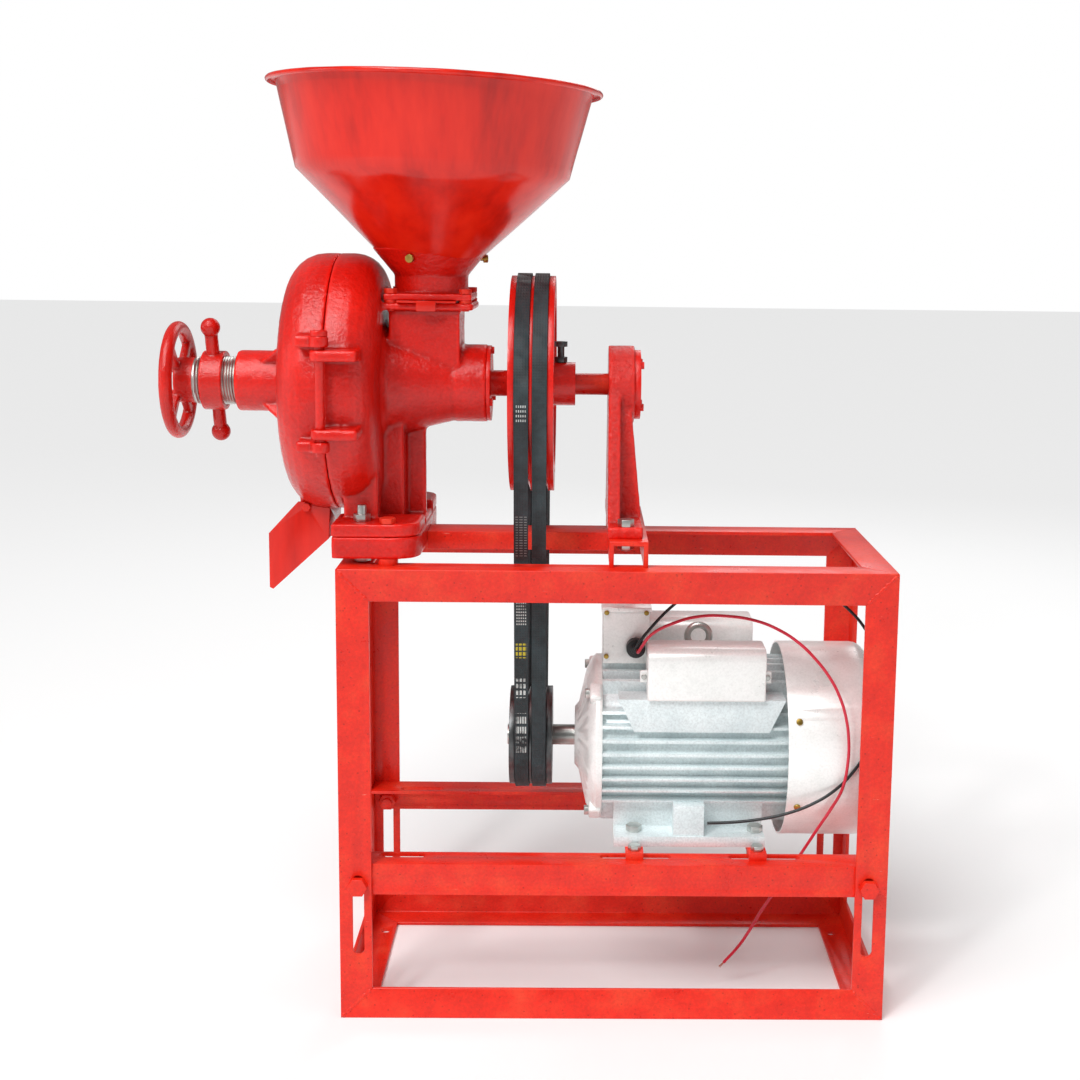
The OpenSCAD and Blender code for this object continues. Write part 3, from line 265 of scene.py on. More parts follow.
def brushed_enamel(name, colour, thin, pale, chalk=0.4):
    """Red alkyd enamel brushed on rolled steel: a gloss that is dulled in clouds, dust nibs and
    thin dark spots about 3 mm across, and pale rubbed patches of a few centimetres."""
    made, tree, shader = new_material(name)
    place = add(tree, "TexCoord").outputs["Object"]
    clouds = add(tree, "TexNoise", {"Vector": place, "Scale": 22, "Detail": 5, "Roughness": 0.6})
    nibs = add(tree, "TexNoise", {"Vector": place, "Scale": 330, "Detail": 3, "Roughness": 0.7})
    specks = add(tree, "TexVoronoi", {"Vector": place, "Scale": 120, "Randomness": 1.0})
    tone = add(tree, "ValToRGB", {"Fac": clouds.outputs["Fac"]})
    tone.color_ramp.elements[0].position = 0.3
    tone.color_ramp.elements[0].color = linear(thin)
    tone.color_ramp.elements[1].position = 0.72
    tone.color_ramp.elements[1].color = linear(pale)
    middle = tone.color_ramp.elements.new(0.5)
    middle.color = linear(colour)
    dark = add(tree, "MapRange", {"Value": specks.outputs["Distance"], "From Min": 0.05,
                                  "From Max": 0.16, "To Min": 0.6, "To Max": 1.0})
    grain = add(tree, "MapRange", {"Value": nibs.outputs["Fac"], "From Min": 0.3, "From Max": 0.7,
                                   "To Min": 0.86, "To Max": 1.08})
    shade = add(tree, "Math", {0: dark.outputs["Result"], 1: grain.outputs["Result"]}, operation="MULTIPLY")
    lengthways = add(tree, "Mapping", {"Vector": place, "Scale": (1, 6, 9), "Rotation": (0.1, 0.2, 0)})
    wear = add(tree, "TexNoise", {"Vector": lengthways.outputs[0], "Scale": 38, "Detail": 8,
                                  "Roughness": 0.75})
    scratch = add(tree, "MapRange", {"Value": wear.outputs["Fac"], "From Min": 0.66, "From Max": 0.7,
                                     "To Min": 0.0, "To Max": 0.55})
    painted = add(tree, "VectorMath", {0: tone.outputs["Color"], "Scale": shade.outputs[0]},
                  operation="SCALE")
    final = add(tree, "Mix", {"Factor": scratch.outputs["Result"], 6: painted.outputs["Vector"],
                              7: linear("#f2a692")}, data_type="RGBA")
    rough = add(tree, "MapRange", {"Value": clouds.outputs["Fac"], "From Min": 0.3, "From Max": 0.7,
                                   "To Min": chalk - 0.16, "To Max": chalk + 0.1})
    bump = add(tree, "Bump", {"Height": nibs.outputs["Fac"], "Strength": 0.3, "Distance": 0.0005})
    shader.inputs["Specular IOR Level"].default_value = 0.45
    for socket, source in (("Base Color", final.outputs[2]), ("Roughness", rough.outputs["Result"]),
                           ("Normal", bump.outputs["Normal"])):
        tree.links.new(source, shader.inputs[socket])
    return made


bar_enamel = brushed_enamel("red brushed enamel on rolled steel", "#ea2914", "#dc200e", "#ee4224")
bars = [node for node in slots if node.startswith(("leg_", "top_rail", "bottom_rail", "motor_rail"))]
for node in bars:
    eased(node, bar_enamel, width=0.0009)
eased("motor_cross_bars", bar_enamel, width=0.0008)
eased("bed_beams", bar_enamel, width=0.0008)

# The welds: short runs of overlapping beads laid across each mitre by hand, ground a little.
frame_low, frame_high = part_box("leg_front_left")[0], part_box("leg_back_right")[1]
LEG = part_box("leg_front_left")[1].x - frame_low.x
BEAD_R = 0.0026


def weld(name, start, end, body, material, beads=9, seed=1):
    """One run of weld beads from start to end, each a flattened lump over the last."""
    lumps = []
    for i in range(beads):
        share = i / (beads - 1)
        wobble = 0.0005 * Vector((math.sin(i * 2.3 + seed), math.cos(i * 1.7 + seed),
                                  math.sin(i * 3.1 + seed)))
        bead_r = BEAD_R * (1 + 0.15 * math.sin(i * 1.9 + seed))
        bpy.ops.mesh.primitive_ico_sphere_add(subdivisions=2, radius=bead_r,
                                              location=Vector(start).lerp(Vector(end), share) + wobble)
        lumps.append(bpy.context.object)
    bpy.ops.object.select_all(action="DESELECT")
    for lump in lumps:
        lump.select_set(True)
    bpy.context.view_layer.objects.active = lumps[0]
    bpy.ops.object.join()
    made = bpy.context.object
    made.name = name
    melt = made.modifiers.new("one bead", "REMESH")
    melt.mode = "VOXEL"
    melt.voxel_size = 0.0008
    soften = made.modifiers.new("flow", "SMOOTH")
    soften.iterations = 2
    apply_all(made)
    return finish(made, body, material, 60)


SINK = 0.0016  # how far the beads are sunk in the bars
for side, x, inward in (("left", frame_low.x, 1), ("right", frame_high.x, -1)):
    for face, y, out in (("front", frame_low.y, 1), ("back", frame_high.y, -1)):
        for level_name, z, down in (("top", frame_high.z, -1), ("bottom", frame_low.z, 1)):
            corner = Vector((x + inward * 0.003, y + out * SINK, z + down * 0.003))
            weld(f"corner_weld_{level_name}_{face}_{side}", corner,
                 corner + Vector((inward * (LEG - 0.006), 0, down * (LEG - 0.006))), "frame",
                 bar_enamel, 16, x * 31 + z * 17)

# ---- Everything cast: mill body, door, neck, bed plate, pedestal and pulley
# Grey iron poured in green sand, fettled by hand and dipped in thick red enamel. The sand
# leaves a coarse skin of grains 2 to 4 mm across under the gloss, and every edge is round.


def sand_cast_enamel(name, colour, deep, grain=1.0, scale=1.0):
    """Thick red enamel over sand-cast iron: wet gloss broken into glints by the sand skin, with painted shade
    darkening its hollows and creases.
    """
    made, tree, shader = new_material(name)
    place = add(tree, "TexCoord").outputs["Object"]
    skin = add(tree, "TexNoise", {"Vector": place, "Scale": 300 * scale, "Detail": 4, "Roughness": 0.65})
    lumps = add(tree, "TexNoise", {"Vector": place, "Scale": 60 * scale, "Detail": 3})
    pits = add(tree, "TexVoronoi", {"Vector": place, "Scale": 190 * scale}, feature="SMOOTH_F1")
    clouds = add(tree, "TexNoise", {"Vector": place, "Scale": 14, "Detail": 3})
    tone = add(tree, "ValToRGB", {"Fac": clouds.outputs["Fac"]})
    tone.color_ramp.elements[0].position = 0.32
    tone.color_ramp.elements[0].color = linear(deep)
    tone.color_ramp.elements[1].position = 0.62
    tone.color_ramp.elements[1].color = linear(colour)
    shade = add(tree, "MapRange", {"Value": skin.outputs["Fac"], "From Min": 0.3, "From Max": 0.65,
                                   "To Min": 0.84, "To Max": 1.04})
    # Painted shade: the colour is darkened where pointiness is low, in hollows, creases and between parts.
    bend = add(tree, "NewGeometry").outputs["Pointiness"]
    painted_crevice_shade = add(tree, "MapRange", {"Value": bend, "From Min": 0.44, "From Max": 0.52,
                                    "To Min": 0.35, "To Max": 1.0})
    depth = add(tree, "Math", {0: shade.outputs["Result"], 1: painted_crevice_shade.outputs["Result"]},
                operation="MULTIPLY")
    final = add(tree, "VectorMath", {0: tone.outputs["Color"], "Scale": depth.outputs[0]},
                operation="SCALE")
    fine = add(tree, "Bump", {"Height": skin.outputs["Fac"], "Strength": 0.55 * grain, "Distance": 0.0014})
    pitted = add(tree, "Bump", {"Height": pits.outputs["Distance"], "Strength": 0.3 * grain,
                                "Distance": 0.0010, "Normal": fine.outputs["Normal"]})
    wavy = add(tree, "Bump", {"Height": lumps.outputs["Fac"], "Strength": 0.4 * grain, "Distance": 0.0022,
                              "Normal": pitted.outputs["Normal"]})
    rough = add(tree, "MapRange", {"Value": clouds.outputs["Fac"], "To Min": 0.16, "To Max": 0.32})
    for socket, source in (("Base Color", final.outputs["Vector"]), ("Roughness", rough.outputs["Result"]),
                           ("Normal", wavy.outputs["Normal"])):
        tree.links.new(source, shader.inputs[socket])
    return made


sand_texture = bpy.data.textures.new("sand mould wall", "CLOUDS")
sand_texture.noise_scale = 0.011
sand_texture.noise_depth = 3


def casting(node, material, voxel, rounding=3, swell=0.0007, angle=60):
    """A casting from its CAD shape: one skin of even small faces, rounded and slightly uneven."""
    made = copy_of(node, node + "_casting")
    skin = made.modifiers.new("even skin", "REMESH")
    skin.mode = "VOXEL"
    skin.voxel_size = voxel
    soften = made.modifiers.new("rounded by the pattern", "SMOOTH")
    soften.factor = 0.5
    soften.iterations = rounding
    uneven = made.modifiers.new("sand wall", "DISPLACE")
    uneven.texture = sand_texture
    uneven.texture_coords = "GLOBAL"
    uneven.strength = swell
    uneven.mid_level = 0.5
    apply_all(made)
    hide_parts(node)
    return finish(made, frame["nodes"][node]["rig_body"], material, angle)


mill_red = sand_cast_enamel("red enamel on sand-cast iron", "#f41e10", "#dc160b")
casting("mill_body", mill_red, 0.0021)
casting("mill_door", mill_red, 0.0018)
casting("hopper_neck", mill_red, 0.0015, rounding=3)
casting("mill_bed_plate", mill_red, 0.0018, rounding=6)
rough_red = sand_cast_enamel("red enamel on rough cast iron", "#f42416", "#e01a10", 2.6, 0.8)
casting("bearing_pedestal", rough_red, 0.0018, rounding=4)
pulley_red = sand_cast_enamel("red enamel on a turned cast pulley", "#e81c10", "#d4160c", 0.4)
eased("mill_pulley", pulley_red, width=0.0008)
eased("bearing_caps", mill_red, width=0.0008)
eased("hinge_pin", mill_red, width=0.0005)
wheel_red = sand_cast_enamel("dark red enamel on the hand castings", "#e21c10", "#c4140b", 0.8)
casting("handwheel", wheel_red, 0.0011, rounding=3, swell=0.0004)
casting("lock_nut", wheel_red, 0.0011, rounding=3, swell=0.0004)

# ---- The hopper and the chute
# Sheet steel 2 mm thick, rolled to a cone and a drum, seam welded, its rim turned outwards,
# and brush enamelled: fine level brush marks, with upright streaks of painted reflection.


def streaked_enamel(name, colour, deep, painted_sheen):
    """Glossy red enamel: upright streaks of painted reflection a few centimetres wide, fine level brush
    marks.
    """
    made, tree, shader = new_material(name)
    place = add(tree, "TexCoord").outputs["Object"]
    upright = add(tree, "Mapping", {"Vector": place, "Scale": (1, 1, 0.12)})
    painted_reflection_streaks = add(tree, "TexNoise", {"Vector": upright.outputs[0], "Scale": 26, "Detail": 4,
                                     "Roughness": 0.6})
    level_marks = add(tree, "Mapping", {"Vector": place, "Scale": (1, 1, 30)})
    scratches = add(tree, "TexNoise", {"Vector": level_marks.outputs[0], "Scale": 16, "Detail": 5,
                                       "Roughness": 0.7})
    clouds = add(tree, "TexNoise", {"Vector": place, "Scale": 9, "Detail": 2})
    fine = add(tree, "TexNoise", {"Vector": place, "Scale": 260, "Detail": 2})
    # Painted reflection: the dark and bright colours of the upright streaks stand in for dark and bright
    # studio reflections in the gloss.
    tone = add(tree, "ValToRGB", {"Fac": painted_reflection_streaks.outputs["Fac"]})
    tone.color_ramp.elements[0].position = 0.3
    tone.color_ramp.elements[0].color = linear(deep)
    tone.color_ramp.elements[1].position = 0.75
    tone.color_ramp.elements[1].color = linear(painted_sheen)
    middle = tone.color_ramp.elements.new(0.5)
    middle.color = linear(colour)
    bump = add(tree, "Bump", {"Height": scratches.outputs["Fac"], "Strength": 0.1, "Distance": 0.0008})
    peel = add(tree, "Bump", {"Height": fine.outputs["Fac"], "Strength": 0.1, "Distance": 0.0004,
                              "Normal": bump.outputs["Normal"]})
    rough = add(tree, "MapRange", {"Value": clouds.outputs["Fac"], "To Min": 0.12, "To Max": 0.26})
    for socket, source in (("Base Color", tone.outputs["Color"]), ("Roughness", rough.outputs["Result"]),
                           ("Normal", peel.outputs["Normal"])):
        tree.links.new(source, shader.inputs[socket])
    return made


# The second and third colours are the dark and bright bands of painted reflection on the sheet.
sheet_red = streaked_enamel("red enamel brushed on sheet steel", "#e01f0c", "#c21608", "#f02c14")
hopper_low, hopper_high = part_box("hopper")
FEED_X = (hopper_low.x + hopper_high.x) / 2
RIM_R = (hopper_high.x - hopper_low.x) / 2
OUTLET_R, FOLD_R, TOP_R = 0.050, 0.153, 0.1755
FOLD_Z, RIM_Z = hopper_low.z + 0.099, hopper_high.z - 0.0096
LEAN = 0.03  # the hopper stands a little crooked on its neck, in radians
SHEET = 0.002
bpy.ops.mesh.primitive_circle_add(vertices=160, radius=OUTLET_R, location=(FEED_X, 0, hopper_low.z))
hopper = bpy.context.object
hopper.name = "hopper_sheet"
bpy.ops.object.mode_set(mode="EDIT")
bpy.ops.mesh.select_mode(type="EDGE")
bpy.ops.mesh.select_all(action="SELECT")
now_r, now_z = OUTLET_R, hopper_low.z
profile = [(OUTLET_R + (FOLD_R - OUTLET_R) * i / 9, hopper_low.z + (FOLD_Z - hopper_low.z) * i / 9)
           for i in range(1, 10)]
profile += [(FOLD_R + (TOP_R - FOLD_R) * i / 9, FOLD_Z + (RIM_Z - 0.002 - FOLD_Z) * i / 9)
            for i in range(1, 10)]
LIP_R = 0.003  # the radius of the rolled lip
lip_x, lip_z = RIM_R - 0.004, RIM_Z - 0.0016
profile += [(TOP_R + 0.0012, RIM_Z), (TOP_R + 0.004, RIM_Z + 0.0012), (lip_x, RIM_Z + 0.0014)]
profile += [(lip_x + LIP_R * math.sin(math.radians(a)), lip_z + LIP_R * math.cos(math.radians(a)))
            for a in range(30, 181, 30)]
for r, z in profile:
    bpy.ops.mesh.extrude_edges_move(TRANSFORM_OT_translate={"value": (0, 0, z - now_z)})
    bpy.ops.transform.resize(value=(r / now_r, r / now_r, 1), center_override=(FEED_X, 0, z))
    now_r, now_z = r, z
bpy.ops.mesh.select_all(action="SELECT")
bpy.ops.mesh.normals_make_consistent(inside=False)
bpy.ops.object.mode_set(mode="OBJECT")
dent_texture = bpy.data.textures.new("hand rolled sheet", "CLOUDS")
dent_texture.noise_scale = 0.09
dents = hopper.modifiers.new("slight dents", "DISPLACE")
dents.texture = dent_texture
dents.texture_coords = "GLOBAL"
dents.strength = 0.0016
dents.mid_level = 0.6
wall = hopper.modifiers.new("sheet", "SOLIDIFY")
wall.thickness = SHEET * 0.9
wall.offset = -1
apply_all(hopper)
# The drum's lap seam: a strip of the same sheet standing up the right-hand side.
seam_lean = math.atan((TOP_R - FOLD_R) / (RIM_Z - FOLD_Z))
seam_turn = math.radians(56)
seam_r = (TOP_R + FOLD_R) / 2 + 0.0012
bpy.ops.mesh.primitive_cube_add(size=1, location=(FEED_X + seam_r * math.sin(seam_turn),
                                                  -seam_r * math.cos(seam_turn), (FOLD_Z + RIM_Z) / 2),
                                rotation=(seam_lean, 0, seam_turn),
                                scale=(0.011, 0.0016, RIM_Z - FOLD_Z - 0.006))
seam = bpy.context.object
seam_edge = seam.modifiers.new("broken edges", "BEVEL")
seam_edge.width = 0.0004
apply_all(seam)
# The fold between drum and cone carries a thin dressed weld bead.
bpy.ops.mesh.primitive_torus_add(major_radius=FOLD_R + 0.0002, minor_radius=0.0011, major_segments=160,
                                 minor_segments=8, location=(FEED_X, 0, FOLD_Z))
fold_bead = bpy.context.object
pick(hopper)
seam.select_set(True)
fold_bead.select_set(True)
bpy.ops.object.join()
hopper.rotation_euler.y = LEAN
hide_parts("hopper")
finish(hopper, "frame", sheet_red, 50)
eased("discharge_chute", sheet_red, width=0.0006)
eased("feed_gate", sheet_red, width=0.0004)

# ---- Steel parts of the mill
# Turned and ground steel: screw, auger, holder and carrier are bright under a film of oil,
# the shaft is overpainted, bolts and bearings are zinc plated or bright.


def machined(name, colour, dull, rough_low=0.25, rough_high=0.45, scratch=1.0):
    """Turned or plated steel: even metal with fine tool marks, cloudy where oil or zinc lies thick."""
    made, tree, shader = new_material(name)
    place = add(tree, "TexCoord").outputs["Object"]
    clouds = add(tree, "TexNoise", {"Vector": place, "Scale": 55, "Detail": 4})
    marks = add(tree, "TexNoise", {"Vector": place, "Scale": 520, "Detail": 2, "Roughness": 0.7})
    tone = add(tree, "ValToRGB", {"Fac": clouds.outputs["Fac"]})
    tone.color_ramp.elements[0].position = 0.3
    tone.color_ramp.elements[0].color = linear(dull)
    tone.color_ramp.elements[1].position = 0.7
    tone.color_ramp.elements[1].color = linear(colour)
    rough = add(tree, "MapRange", {"Value": clouds.outputs["Fac"], "To Min": rough_low, "To Max": rough_high})
    bump = add(tree, "Bump", {"Height": marks.outputs["Fac"], "Strength": 0.25 * scratch, "Distance": 0.0003})
    shader.inputs["Metallic"].default_value = 1
    for socket, source in (("Base Color", tone.outputs["Color"]), ("Roughness", rough.outputs["Result"]),
                           ("Normal", bump.outputs["Normal"])):
        tree.links.new(source, shader.inputs[socket])
    return made


zinc = machined("bright zinc plate on steel", "#d9dad6", "#b4b6b2")
gilt = machined("yellow passivated zinc plate", "#c9a95c", "#8f7434")
dark_steel = machined("turned steel, oiled", "#77797a", "#4b4d4e", 0.3, 0.5)
white_iron = machined("ground white cast iron", "#9b9c9b", "#6f7070", 0.35, 0.6, 2)
for node in ("mill_foot_bolts", "pedestal_bolts", "ball_bearings"):
    eased(node, zinc, width=0.0004)
for node in ("feed_auger", "plate_holder", "plate_carrier", "motor_pulley",
             "pulley_set_screw"):
    eased(node, dark_steel, width=0.0004)
for node in ("stationary_plate", "rotating_plate"):
    eased(node, white_iron, width=0.0003)
# The adjusting screw: a turned core, and a helical thread of 3 mm pitch wound round it.
screw_core = eased("adjusting_screw", zinc, width=0.0004)
screw_low, screw_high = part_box("adjusting_screw")
SHAFT_Z = (screw_low.z + screw_high.z) / 2
SCREW_R = (screw_high.z - screw_low.z) / 2
PITCH, CREST = 0.003, 0.0013
THREAD_X0 = screw_low.x + 0.0245
TURNS = int((screw_high.x - THREAD_X0 - 0.006) / PITCH)
pick(screw_core)
bpy.ops.object.mode_set(mode="EDIT")
bpy.ops.mesh.select_all(action="SELECT")
BACK_OFF = 1 - 0.003 / (screw_high.x - screw_low.x)
bpy.ops.transform.resize(value=(BACK_OFF, (SCREW_R - CREST) / SCREW_R, (SCREW_R - CREST) / SCREW_R),
                         center_override=(screw_low.x, 0, SHAFT_Z))
bpy.ops.object.mode_set(mode="OBJECT")
bpy.ops.mesh.primitive_circle_add(vertices=4, radius=PITCH / 2, location=(THREAD_X0, 0, SHAFT_Z),
                                  rotation=(math.pi / 2, 0, 0))
thread = bpy.context.object
thread.name = "screw_thread"
bpy.ops.object.transform_apply(location=False, rotation=True, scale=False)
bpy.ops.object.mode_set(mode="EDIT")
bpy.ops.mesh.select_all(action="SELECT")
bpy.ops.transform.resize(value=(1, 1, 2 * CREST / PITCH), center_override=(THREAD_X0, 0, SHAFT_Z))
bpy.ops.transform.translate(value=(0, 0, SCREW_R - CREST))
bpy.ops.object.mode_set(mode="OBJECT")
winding = thread.modifiers.new("thread", "SCREW")
winding.axis = "X"
winding.screw_offset = PITCH
winding.iterations = TURNS
winding.steps = winding.render_steps = 40
apply_all(thread)
bpy.ops.object.mode_set(mode="EDIT")
bpy.ops.mesh.select_all(action="SELECT")
bpy.ops.mesh.normals_make_consistent(inside=False)
bpy.ops.object.mode_set(mode="OBJECT")
finish(thread, "adjuster", zinc, 40)

shaft_red = brushed_enamel("red enamel splashed on bright shaft", "#cc1c10", "#a8140c", "#da3820", 0.3)
eased("main_shaft", shaft_red, width=0.0006)
for node in ("rail_bolts", "mill_frame_bolts", "door_bolts", "neck_bolts"):
    eased(node, bar_enamel, width=0.0004)
eased("hopper_screws", gilt, width=0.0004)

# ---- The V-belts
# Two classical belts: rubber wedges in a woven jacket, black turned grey by dust. The maker
# prints light bands on the back of one; here they are plain blocks and hatching.
belt_low, belt_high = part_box("v_belts")
BELT_SPLIT = (belt_low.x + belt_high.x) / 2


def belt_jacket():
    """Rubberised weave with threads about 1.5 mm apart, dusty, and printed on one belt only."""
    made, tree, shader = new_material("rubberised woven belt jacket")
    place = add(tree, "TexCoord").outputs["Object"]
    axes = add(tree, "SeparateXYZ", {0: place})
    weave_a = add(tree, "TexWave", {"Vector": place, "Scale": 105, "Distortion": 0.4}, bands_direction="Z")
    weave_b = add(tree, "TexWave", {"Vector": place, "Scale": 105, "Distortion": 0.4}, bands_direction="X")
    weave = add(tree, "Math", {0: weave_a.outputs["Fac"], 1: weave_b.outputs["Fac"]}, operation="MULTIPLY")
    dust = add(tree, "TexNoise", {"Vector": place, "Scale": 40, "Detail": 5, "Roughness": 0.65})
    tone = add(tree, "ValToRGB", {"Fac": dust.outputs["Fac"]})
    tone.color_ramp.elements[0].position = 0.35
    tone.color_ramp.elements[0].color = linear("#1b2325")
    tone.color_ramp.elements[1].position = 0.75
    tone.color_ramp.elements[1].color = linear("#39464a")

    def between(value, low, high):
        above = add(tree, "Math", {0: value, 1: low}, operation="GREATER_THAN")
        below = add(tree, "Math", {0: value, 1: high}, operation="LESS_THAN")
        return add(tree, "Math", {0: above.outputs[0], 1: below.outputs[0]}, operation="MULTIPLY").outputs[0]

    def times(a, b):
        return add(tree, "Math", {0: a, 1: b}, operation="MULTIPLY").outputs[0]

    def dashes(axis, pitch, share):
        phase = add(tree, "Math", {0: axis, 1: pitch}, operation="DIVIDE")
        part = add(tree, "Math", {0: phase.outputs[0]}, operation="FRACT")
        return add(tree, "Math", {0: part.outputs[0], 1: share}, operation="LESS_THAN").outputs[0]

    left = between(axes.outputs["X"], belt_low.x + 0.002, BELT_SPLIT - 0.0035)
    front = add(tree, "Math", {0: axes.outputs["Y"], 1: 0.0}, operation="LESS_THAN").outputs[0]
    printed = times(left, front)
    white_rows = times(between(axes.outputs["Z"], 0.288, 0.338), times(
        dashes(axes.outputs["Z"], 0.0125, 0.68), dashes(axes.outputs["X"], 0.0028, 0.62)))
    block_rows = times(between(axes.outputs["Z"], 0.357, 0.381), times(
        dashes(axes.outputs["Z"], 0.0082, 0.66), dashes(axes.outputs["X"], 0.0042, 0.6)))
    dot_rows = times(between(axes.outputs["Z"], 0.445, 0.476), times(
        dashes(axes.outputs["Z"], 0.0036, 0.5), dashes(axes.outputs["X"], 0.0024, 0.6)))
    hatch_rows = times(between(axes.outputs["Z"], 0.679, 0.700), times(
        dashes(axes.outputs["Z"], 0.0052, 0.5), dashes(axes.outputs["X"], 0.0024, 0.5)))
    rib_rows = times(between(axes.outputs["Z"], 0.526, 0.576), times(
        dashes(axes.outputs["Z"], 0.0030, 0.35), dashes(axes.outputs["X"], 0.0052, 0.7)))
    yellow_rows = times(between(axes.outputs["Z"], 0.406, 0.424), times(
        dashes(axes.outputs["Z"], 0.0062, 0.7), dashes(axes.outputs["X"], 0.0044, 0.7)))
    wear = add(tree, "MapRange", {"Value": dust.outputs["Fac"], "From Min": 0.35, "From Max": 0.5})
    lower = add(tree, "Math", {0: white_rows, 1: block_rows}, operation="MAXIMUM").outputs[0]
    upper = add(tree, "Math", {0: dot_rows, 1: hatch_rows}, operation="MAXIMUM").outputs[0]
    bright = add(tree, "Math", {0: lower, 1: upper}, operation="MAXIMUM").outputs[0]
    faint = add(tree, "Math", {0: rib_rows, 1: 0.3}, operation="MULTIPLY").outputs[0]
    marks = add(tree, "Math", {0: bright, 1: faint}, operation="MAXIMUM").outputs[0]
    white = times(times(marks, printed), wear.outputs["Result"])
    yellow = times(times(yellow_rows, printed), wear.outputs["Result"])
    with_white = add(tree, "Mix", {"Factor": white, 6: tone.outputs["Color"], 7: linear("#cdd3d0")},
                     data_type="RGBA")
    with_yellow = add(tree, "Mix", {"Factor": yellow, 6: with_white.outputs[2], 7: linear("#c9b82e")},
                      data_type="RGBA")
    bump = add(tree, "Bump", {"Height": weave.outputs[0], "Strength": 0.5, "Distance": 0.0005})
    rough = add(tree, "MapRange", {"Value": dust.outputs["Fac"], "To Min": 0.5, "To Max": 0.8})
    for socket, source in (("Base Color", with_yellow.outputs[2]), ("Roughness", rough.outputs["Result"]),
                           ("Normal", bump.outputs["Normal"])):
        tree.links.new(source, shader.inputs[socket])
    return made


eased("v_belts", belt_jacket(), width=0.0008)

# ---- The motor
# An aluminium or iron-finned single-phase motor, sprayed pale silver-grey all over; the spray
# is thin and speckled on the rough castings and smoother on the pressed covers.


def sprayed(name, colour, shadow, speckle=1.0, gloss=0.32):
    """Silver-grey motor enamel sprayed on castings: faint speckle, and a bluish painted shade colour laid in
    random clouds.
    """
    made, tree, shader = new_material(name)
    place = add(tree, "TexCoord").outputs["Object"]
    grit = add(tree, "TexNoise", {"Vector": place, "Scale": 380, "Detail": 3, "Roughness": 0.7})
    clouds = add(tree, "TexNoise", {"Vector": place, "Scale": 18, "Detail": 5, "Roughness": 0.6})
    # Painted shade: the bluish shadow colour is spread in random clouds over the surface.
    tone = add(tree, "ValToRGB", {"Fac": clouds.outputs["Fac"]})
    tone.color_ramp.elements[0].position = 0.3
    tone.color_ramp.elements[0].color = linear(shadow)
    tone.color_ramp.elements[1].position = 0.6
    tone.color_ramp.elements[1].color = linear(colour)
    shade = add(tree, "MapRange", {"Value": grit.outputs["Fac"], "From Min": 0.3, "From Max": 0.6,
                                   "To Min": 1 - 0.18 * speckle, "To Max": 1.03})
    final = add(tree, "VectorMath", {0: tone.outputs["Color"], "Scale": shade.outputs["Result"]},
                operation="SCALE")
    bump = add(tree, "Bump", {"Height": grit.outputs["Fac"], "Strength": 0.35 * speckle, "Distance": 0.0006})
    rough = add(tree, "MapRange", {"Value": clouds.outputs["Fac"], "To Min": gloss - 0.08,
                                   "To Max": gloss + 0.12})
    shader.inputs["Metallic"].default_value = 0.15
    for socket, source in (("Base Color", final.outputs["Vector"]), ("Roughness", rough.outputs["Result"]),
                           ("Normal", bump.outputs["Normal"])):
        tree.links.new(source, shader.inputs[socket])
    return made


cast_silver = sprayed("silver-grey enamel on finned casting", "#edf7f8", "#d8e5e7")
cover_silver = sprayed("silver-grey enamel on pressed covers", "#fcfdfb", "#eef1ee", 0.4, 0.28)
eased("motor_housing", cast_silver, width=0.0007)
eased("motor_end_shields", cover_silver, width=0.0008)
eased("fan_cover", cover_silver, width=0.0007)
eased("terminal_box", cover_silver, width=0.0012)
eased("capacitor_covers", cover_silver, width=0.0025)
eased("eye_bolt", zinc, width=0.0004)
eased("motor_bolts", zinc, width=0.0004)
laminations = machined("varnished silicon-steel laminations", "#5a5c5e", "#3c3e40", 0.4, 0.6, 3)
eased("stator_core", laminations, width=0.0004)
eased("motor_rotor", zinc, width=0.0004)


# Small fittings on the motor: lugs and bolts round its drive-end shield, screws in the fan
# cover, and a strap with a screw at each end of the front capacitor cover.
cover_low, cover_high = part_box("fan_cover")
MOTOR_Z = (cover_low.z + cover_high.z) / 2
COVER_R = (cover_high.z - cover_low.z) / 2


def small_screw(name, place, turn, material, radius=0.0038, height=0.003):
    """A pan-head screw: a short rounded cylinder along local Z, with a slot sawn across."""
    bpy.ops.mesh.primitive_cylinder_add(vertices=28, radius=radius, depth=height, location=place,
                                        rotation=turn)
    made = bpy.context.object
    made.name = name
    bpy.ops.mesh.primitive_cube_add(size=1, location=(0, 0, 0), rotation=(0, 0, 0),
                                    scale=(2.4 * radius, 0.0009, 0.0016))
    blade = bpy.context.object
    blade.matrix_world = made.matrix_world @ Matrix.Translation((0, 0, height / 2)) @ Matrix.Diagonal(
        (2.4 * radius, 0.0009, 0.0016, 1))
    crown = made.modifiers.new("rounded head", "BEVEL")
    crown.width = 0.0009
    crown.segments = 3
    crown.limit_method = "ANGLE"
    sawn = made.modifiers.new("slot", "BOOLEAN")
    sawn.operation = "DIFFERENCE"
    sawn.object = blade
    apply_all(made)
    bpy.data.objects.remove(blade)
    return finish(made, "frame", material, 40)


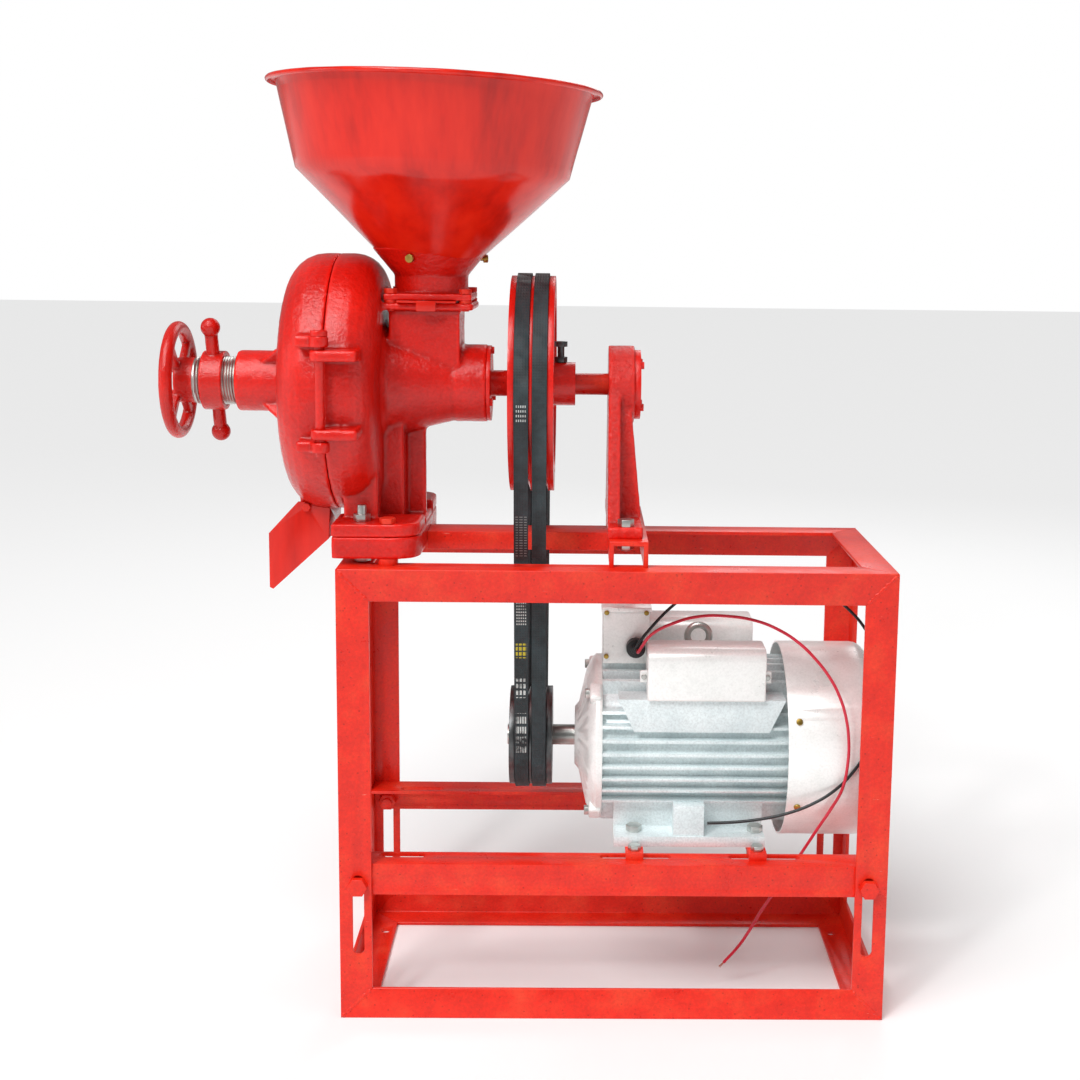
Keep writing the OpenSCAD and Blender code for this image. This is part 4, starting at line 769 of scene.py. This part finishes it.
LUG_R, BOLT_R = 0.0935, 0.0945  # how far the lugs and their bolts stand from the motor's axis
for turn in (42, 138, 222, 318):
    y, z = math.sin(math.radians(turn)), math.cos(math.radians(turn))
    bpy.ops.mesh.primitive_cube_add(size=1, location=(-0.022, LUG_R * y, MOTOR_Z + LUG_R * z),
                                    rotation=(-math.radians(turn), 0, 0), scale=(0.014, 0.022, 0.015))
    lug = bpy.context.object
    lug.name = f"shield_lug_{turn}"
    rounding = lug.modifiers.new("rounded", "BEVEL")
    rounding.width = 0.003
    rounding.segments = 3
    apply_all(lug)
    finish(lug, "frame", cover_silver, 50)
    bpy.ops.mesh.primitive_cylinder_add(vertices=6, radius=0.0058, depth=0.0055,
                                        location=(-0.0315, BOLT_R * y, MOTOR_Z + BOLT_R * z),
                                        rotation=(0, math.pi / 2, 0))
    head = bpy.context.object
    head.name = f"shield_bolt_{turn}"
    chamfer = head.modifiers.new("chamfer", "BEVEL")
    chamfer.width = 0.0006
    apply_all(head)
    finish(head, "frame", zinc, 30)
for turn in (64, 116, 244, 296):
    y, z = math.sin(math.radians(turn)), math.cos(math.radians(turn))
    seat = COVER_R + 0.0006
    small_screw(f"fan_cover_screw_{turn}", (0.2085, seat * y, MOTOR_Z + seat * z),
                (-math.radians(turn), 0, 0), gilt)


cap_low, cap_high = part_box("capacitor_covers")
STRAP_Z = 0.386
FACING_FRONT = (math.pi / 2, 0, 0)
for end, x in (("left", cap_low.x - 0.0035), ("right", cap_high.x + 0.0035)):
    bpy.ops.mesh.primitive_cube_add(size=1, location=(x, cap_low.y + 0.021, STRAP_Z),
                                    scale=(0.009, 0.0022, 0.014))
    strap = bpy.context.object
    strap.name = f"capacitor_strap_{end}"
    strap_edge = strap.modifiers.new("broken edges", "BEVEL")
    strap_edge.width = 0.0006
    apply_all(strap)
    finish(strap, "frame", cover_silver, 40)
    small_screw(f"capacitor_screw_{end}", (x, cap_low.y + 0.0188, STRAP_Z), FACING_FRONT, zinc, 0.0032)
box_low, box_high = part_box("terminal_box")
for name, x, z in (("top_left", box_low.x + 0.006, box_high.z - 0.006),
                   ("low_left", box_low.x + 0.006, box_low.z + 0.009),
                   ("top_right", box_high.x - 0.006, box_high.z - 0.006)):
    small_screw(f"terminal_box_screw_{name}", (x, box_low.y - 0.0008, z), FACING_FRONT, gilt, 0.0029, 0.0024)

# Bare copper strands at the red lead's far end, where its jacket is stripped.
copper = machined("bare copper strand", "#d98a5c", "#b06238", 0.3, 0.45)
lead_end, lead_before = Vector(red_route[-1]) / 1000, Vector(red_route[-2]) / 1000
lead_way = (lead_end - lead_before).normalized()
for i in range(5):
    fan = Vector((math.cos(i * 1.257), 0, math.sin(i * 1.257))) * 0.00055
    strand_way = (lead_way + fan * 140).normalized()
    bpy.ops.mesh.primitive_cylinder_add(vertices=10, radius=0.0003, depth=0.009,
                                        location=lead_end + fan + strand_way * 0.0035)
    strand = bpy.context.object
    strand.name = f"copper_strand_{i}"
    strand.rotation_mode = "QUATERNION"
    strand.rotation_quaternion = strand_way.to_track_quat("Z", "Y")
    finish(strand, "frame", copper, 40)


def nylon():
    """Moulded black nylon: matt, with a fine leathery mould texture."""
    made, tree, shader = new_material("moulded black nylon")
    place = add(tree, "TexCoord").outputs["Object"]
    skin = add(tree, "TexNoise", {"Vector": place, "Scale": 420, "Detail": 2})
    tone = add(tree, "ValToRGB", {"Fac": skin.outputs["Fac"]})
    tone.color_ramp.elements[0].color = linear("#0c0d0e")
    tone.color_ramp.elements[1].color = linear("#25282a")
    bump = add(tree, "Bump", {"Height": skin.outputs["Fac"], "Strength": 0.3, "Distance": 0.0003})
    shader.inputs["Roughness"].default_value = 0.45
    tree.links.new(tone.outputs["Color"], shader.inputs["Base Color"])
    tree.links.new(bump.outputs["Normal"], shader.inputs["Normal"])
    return made


black_nylon = nylon()
gland_piece = eased("cable_gland", black_nylon, width=0.0008)
eased("cooling_fan", black_nylon, width=0.0004)
